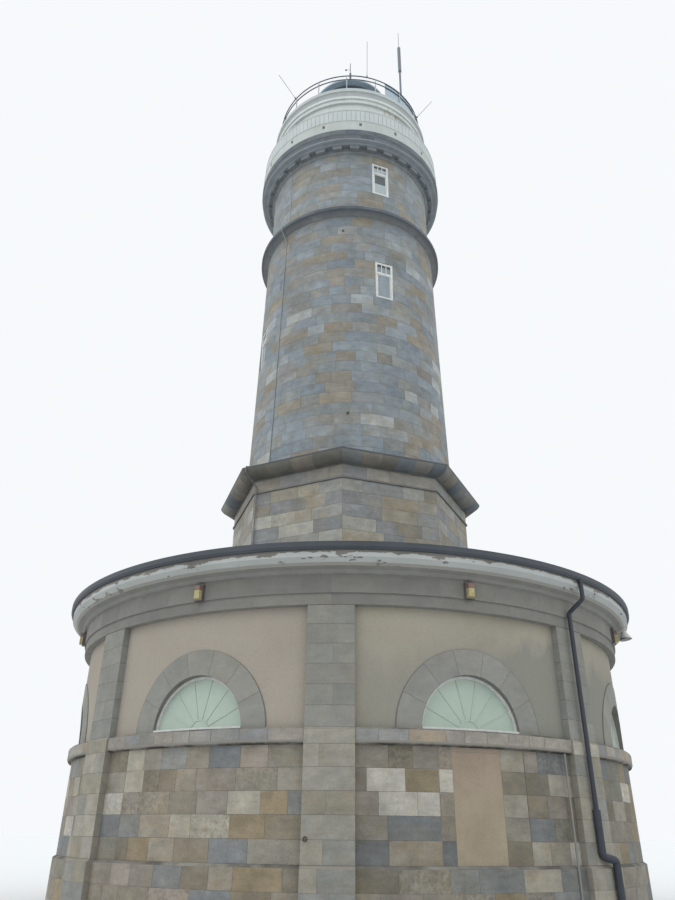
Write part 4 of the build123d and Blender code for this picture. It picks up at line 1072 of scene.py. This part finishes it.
add_piece("gallery_lip_blocks", fill_gallery_lip, block_stone("sooty_lip_stone", [
    (0.100, 0.120, 0.140), (0.116, 0.132, 0.148), (0.090, 0.108, 0.128), (0.128, 0.144, 0.158),
    (0.110, 0.118, 0.124),
], 0.8, 0.5))


# White head of the tower: gallery deck, parapet, drum and upper deck.
# Painted masonry with a faint blue cast; the parapet is faced with narrow upright boards
# over a smooth foot, and the drum behind it is a little yellower, with a trace of rust; the
# drum's paint is made brighter as painted light, and its hollow moulding darker in painted
# shade.
board_count, board_radius, board_low, board_high = 128, 3.3046, 23.775, 24.305
board_gap, first_drain = 0.006, 9
rust_end, cove_shade_start = 25.30, 25.56


def head_paint(name, light, shaded, rust_and_cove_shade=False, grooves=False):
    paint = new_finish(name)
    broad = paint.noise(0.9, 5.0)
    runs = paint.noise(2.4, 5.0, 0.62, (2.6, 2.6, 0.22))
    fine = paint.noise(26.0, 3.0)
    white = paint.ramp(broad, (0.32, shaded), (0.66, light))
    white = paint.tint(white, paint.ramp(runs, (0.34, 0.95), (0.60, 1.01)))
    white = paint.tint(white, paint.ramp(fine, (0.32, 0.96), (0.55, 1.01)))
    if rust_and_cove_shade:
        # A run of rust comes down the front, right of the middle
        rusty = paint.times(paint.ramp(runs, (0.50, 0.0), (0.68, 0.7)),
                            paint.between(paint.x, 0.7, 1.4), paint.between(paint.x, 2.3, 1.8),
                            paint.between(paint.z, rust_end + 0.30, rust_end))
        white = paint.blend(rusty, white, (0.300, 0.190, 0.120))
        # Painted shade on the drum's hollow moulding, which faces down, and on all of the drum
        # above it
        white = paint.tint(white, (0.74, 0.74, 0.76),
                           paint.between(paint.z, cove_shade_start, cove_shade_start + 0.04))
    if grooves:
        # Dirt in the joints between the boards
        in_panel = paint.times(paint.above(paint.z, board_low + 0.002),
                               paint.below(paint.z, board_high - 0.002))
        white = paint.blend(in_panel, white, (0.235, 0.254, 0.252))
    return paint.surface(white, 0.72, (paint.plus(fine, broad), 0.15, 0.006))


def fill_boards(mesh):
    width = 2 * pi * board_radius / board_count
    for index in range(board_count):
        # Board edges fall on the middle of each drain hole under them
        start = math.radians(first_drain) * board_radius + index * width
        add_block(mesh, chance.random(), on_cylinder(board_radius),
                  upright_face(start + board_gap, start + width - board_gap, board_low,
                               board_high), 0.007, 0.003, 1)


wear(head_paint("head_white_paint", (0.450, 0.490, 0.480), (0.395, 0.430, 0.422)),
     "gallery_deck", "upper_deck", "lantern_wall")
wear(head_paint("parapet_white_paint", (0.452, 0.486, 0.470), (0.400, 0.426, 0.410),
                grooves=True), "gallery_parapet")
# The drum's paint is brighter than the rest of the head: painted light on a wall in shade
wear(head_paint("drum_paint_and_painted_light", (0.575, 0.610, 0.590), (0.510, 0.545, 0.528), rust_and_cove_shade=True),
     "lantern_drum")
add_piece("parapet_boards", fill_boards,
          head_paint("parapet_board_paint", (0.490, 0.530, 0.520), (0.435, 0.470, 0.462)))


# Metal work: railing, screen, lantern bars, roof, finial, aerials, pipes and lamp cases.
# Blue-black paint on bars and rods; the roof is a chalky lead blue, and the railing's
# posts and the screen behind it are paler, the screen partly by painted sky light through it.
def metal_paint(name, dark, light, rough=(0.38, 0.6), scale=5.0):
    return drifting(name, dark, light, scale, 5.0, (0.32, 0.66), rough, (0.12, 0.004))


def two_coats(finish, other_coat, drift, stops, first, second, rough, bump=()):
    """Two coats, each drifting between two shades; a mask tells where the second one is."""
    coats = [finish.ramp(drift, (stops[0], dark), (stops[1], light))
             for dark, light in (first, second)]
    return finish.surface(finish.blend(other_coat, *coats), rough,
                          (drift, *bump) if bump else None)


wear(metal_paint("blue_black_paint", (0.050, 0.060, 0.078), (0.078, 0.092, 0.112)),
     "lantern_bars", "roof_finial")
wear(metal_paint("mast_paint", (0.085, 0.105, 0.135), (0.125, 0.150, 0.185)), "aerial_mast")
wear(metal_paint("aerial_fibreglass", (0.200, 0.225, 0.250), (0.260, 0.285, 0.310)),
     "whip_aerials")
wear(metal_paint("downpipe_paint", (0.022, 0.026, 0.036), (0.036, 0.042, 0.054), (0.6, 0.8)),
     "downpipe")
wear(metal_paint("lead_blue_roof", (0.235, 0.308, 0.368), (0.300, 0.376, 0.436), (0.5, 0.7), 1.5),
     "lantern_roof")
# The screen's pale blue is partly its paint, partly painted sky light shining through it
wear(metal_paint("screen_paint_and_painted_skylight", (0.290, 0.370, 0.430), (0.350, 0.430, 0.490), (0.4, 0.6), 3.0),
     "railing_screen")
wear(metal_paint("conduit_grey", (0.165, 0.165, 0.152), (0.205, 0.202, 0.184), (0.5, 0.7)),
     "wall_conduit")
wear(metal_paint("lamp_case", (0.070, 0.064, 0.064), (0.100, 0.090, 0.088)), "lamp_housings")

# The strap is bleached where it runs up the shaft and darker on the tower's foot
strap = new_finish("conductor_strap_metal")
on_shaft_wall = strap.above(strap.z, foot_cornice_high + 0.1)
wear(two_coats(strap, on_shaft_wall, strap.noise(5.0, 5.0), (0.32, 0.66),
               ((0.100, 0.106, 0.108), (0.140, 0.146, 0.146)),
               ((0.178, 0.198, 0.211), (0.222, 0.242, 0.252)), 0.7, (0.12, 0.004)),
     "lightning_conductor")

rail_levels, rail_half = (26.74, 26.95), 0.026
railing = new_finish("railing_paint")
on_rail = railing.maths("MAXIMUM", *[
    railing.below(railing.maths("ABSOLUTE", railing.less(railing.z, level)), rail_half)
    for level in rail_levels])
wear(two_coats(railing, on_rail, railing.noise(5.0, 5.0), (0.32, 0.66),
               ((0.300, 0.345, 0.365), (0.380, 0.425, 0.440)),
               ((0.058, 0.072, 0.092), (0.085, 0.102, 0.125)), 0.5, (0.12, 0.004)),
     "upper_railing")


# Iron eyes left in the walls.
# Three forged rings, one low on the front pilaster, one on the shaft and one under its
# ring moulding, each on a shank driven into the stone and rusted dark.
eye_radius, wire_radius, eye_standoff, eye_parts, wire_sides = 0.032, 0.009, 0.022, 14, 6
shank_root, shank_tip = -0.03, 0.036
# Angle, radius of the wall and height of each eye
eye_places = ((-3.1, pilaster_foot_radius, 1.57), (2.0, shaft_radius(12.0), 12.0),
              (-1.5, shaft_radius(18.95), 18.95))


def wire_loop(mesh, centre, first, second):
    """Vertices round a wire, in the plane of two directions."""
    turns = [2 * pi * i / wire_sides for i in range(wire_sides)]
    return [mesh.verts.new(centre + (first * math.cos(turn) + second * math.sin(turn))
                           * wire_radius) for turn in turns]


def wire_skin(mesh, loops):
    for near, far in zip(loops, loops[1:]):
        for i in range(wire_sides):
            j = (i + 1) % wire_sides
            mesh.faces.new((near[i], far[i], far[j], near[j]))


def fill_eyes(mesh):
    for angle, radius, height in eye_places:
        out = outward(angle)
        across = upwards.cross(out)
        centre = out * (radius + eye_standoff) + upwards * (height - eye_radius)
        loops = []
        for i in range(eye_parts):
            turn = 2 * pi * i / eye_parts
            spoke = across * math.cos(turn) + upwards * math.sin(turn)
            loops.append(wire_loop(mesh, centre + spoke * eye_radius, spoke, out))
        wire_skin(mesh, loops + loops[:1])
        shank = [wire_loop(mesh, out * (radius + depth) + upwards * height, across, upwards)
                 for depth in (shank_root, shank_tip)]
        wire_skin(mesh, shank)
        mesh.faces.new(shank[1])


add_piece("iron_wall_eyes", fill_eyes, metal_paint(
    "rusted_iron", (0.036, 0.030, 0.028), (0.062, 0.050, 0.044), (0.7, 0.9), 20.0), False)


# Glass of the lantern.
# Clear plate glass between the bars, filmed with salt.
clear_glass = drifting("clear_glass", (0.62, 0.70, 0.72), (0.72, 0.78, 0.79), 2.0,
                       rough=(0.03, 0.10))
shader = clear_glass.node_tree.nodes["Principled BSDF"]
shader.inputs["Transmission Weight"].default_value = 0.9
shader.inputs["IOR"].default_value = 1.45
wear(clear_glass, "lantern_glass")


# Tower windows.
# White frames nearly flush with the wall, two slim upright bars in the upper light, dark
# glass, and a pale pane in the lower half of the casement.
wear(drifting("dark_window_glass", (0.050, 0.064, 0.074), (0.078, 0.095, 0.106), 3.0,
              rough=(0.10, 0.22), specular=0.3), "tower_window_glass")
wear(frame_white, "tower_window_frames")
frame_setback, frame_depth, frame_width = 0.018, 0.080, 0.070
light_half = window_half - frame_width
upper_light, upper_light_top, lower_light_top = 1.04, 1.36, 0.97
# Angle, sill and distance from the axis of each frame's face, upright below its head
window_faces = [(angle, sill, middle_radius - (middle_radius - top_radius)
                 * (sill + window_tall - shaft_middle) / (shaft_high - shaft_middle)
                 - frame_setback) for angle, sill in shaft_windows]
window_faces += [(angle, sill, watch_radius - frame_setback) for angle, sill in watch_windows]


def upright_plate(mesh, angle, distance, sill, sides, rises, thickness):
    """A flat plate parallel to a window: sides and rises are (low, high) pairs."""
    corners = [wall_point(angle, distance, sill, across, rise)
               for across, rise in upright_face(*sides, *rises)]
    plate(mesh, corners, outward(angle), thickness)


def fill_slim_bars(mesh):
    """Two slim bars in each upper light, and the sash of the casement in the lower one."""
    bar_half, bar_setback, bar_thick = 0.011, 0.012, 0.024
    sash, sash_setback, sash_thick = 0.032, 0.020, 0.018
    whole, clear = (frame_width, lower_light_top), (sash - light_half, light_half - sash)
    for angle, sill, face in window_faces:
        for across in (-light_half / 3, light_half / 3):
            upright_plate(mesh, angle, face - bar_setback, sill,
                          (across - bar_half, across + bar_half),
                          (upper_light, upper_light_top), bar_thick)
        for sides, rises in (((-light_half, clear[0]), whole), ((clear[1], light_half), whole),
                             (clear, (frame_width, frame_width + sash)),
                             (clear, (lower_light_top - sash, lower_light_top))):
            upright_plate(mesh, angle, face - sash_setback, sill, sides, rises, sash_thick)


def fill_pale_panes(mesh):
    """Pale panes: low in the watch room casements, the whole casement in the shaft."""
    pane_lift, pane_thick, open_top = 0.006, 0.003, 0.09
    for angle, sill, face in window_faces:
        top = lower_light_top * 0.56 if sill == watch_sill else lower_light_top
        for rises in ((frame_width, top), (upper_light, upper_light_top - open_top)):
            upright_plate(mesh, angle, face - frame_depth / 2 + pane_lift, sill,
                          (-light_half, light_half), rises, pane_thick)


add_piece("tower_window_bars", fill_slim_bars, frame_white, False)
pane = new_finish("pale_blue_pane")
add_piece("tower_window_pale_panes", fill_pale_panes, two_coats(
    pane, pane.above(pane.z, watch_sill), pane.noise(8.0, 4.0, 0.6, (1.6, 1.6, 0.3)),
    (0.35, 0.65), ((0.165, 0.205, 0.228), (0.215, 0.262, 0.285)),
    ((0.290, 0.345, 0.368), (0.345, 0.400, 0.420)), 0.28), False)


# Entrance at the back.
# A painted timber leaf in a white frame, with a light over it.
wear(drifting("door_green_paint", (0.070, 0.105, 0.095), (0.105, 0.145, 0.132), 6.0,
              stops=(0.35, 0.62), bump=(0.25, 0.004), stretch=(6.0, 6.0, 0.6)), "entrance_door")
wear(frame_white, "entrance_frame")


# Floors inside the building.
# Cement screed on the ground, and the same plain grey in the watch room.
wear(plain_stone("floor_screed", (0.24, 0.235, 0.22), 0.5, 0.5), "ground_floor",
     "watch_room_floor")


# Lamps on the frieze and the bell-shaped lamp under the eaves.
# Each wall lamp has a pale yellow lens under a dull red one in a dark cast case; the bell
# is enamelled white, with a dark rim.
lens_split, bell_rim = 5.885, 5.855
lens = new_finish("two_colour_lens")
yellow = (0.300, 0.255, 0.110), (0.370, 0.320, 0.160)
red = (0.150, 0.080, 0.066), (0.200, 0.108, 0.088)
wear(two_coats(lens, lens.above(lens.z, lens_split), lens.noise(14.0, 3.0, 0.5), (0.35, 0.65),
               yellow, red, 0.35, (0.1, 0.003)), "lamp_lenses")

bell = new_finish("bell_enamel")
aged = bell.noise(12.0)
enamel = bell.ramp(aged, (0.35, (0.430, 0.450, 0.425)), (0.62, (0.500, 0.520, 0.490)))
rim = bell.between(bell.z, bell_rim + 0.007, bell_rim - 0.007)
wear(bell.surface(bell.blend(rim, enamel, (0.085, 0.088, 0.090)), 0.4, (aged, 0.1, 0.003)),
     "bell_lamp")
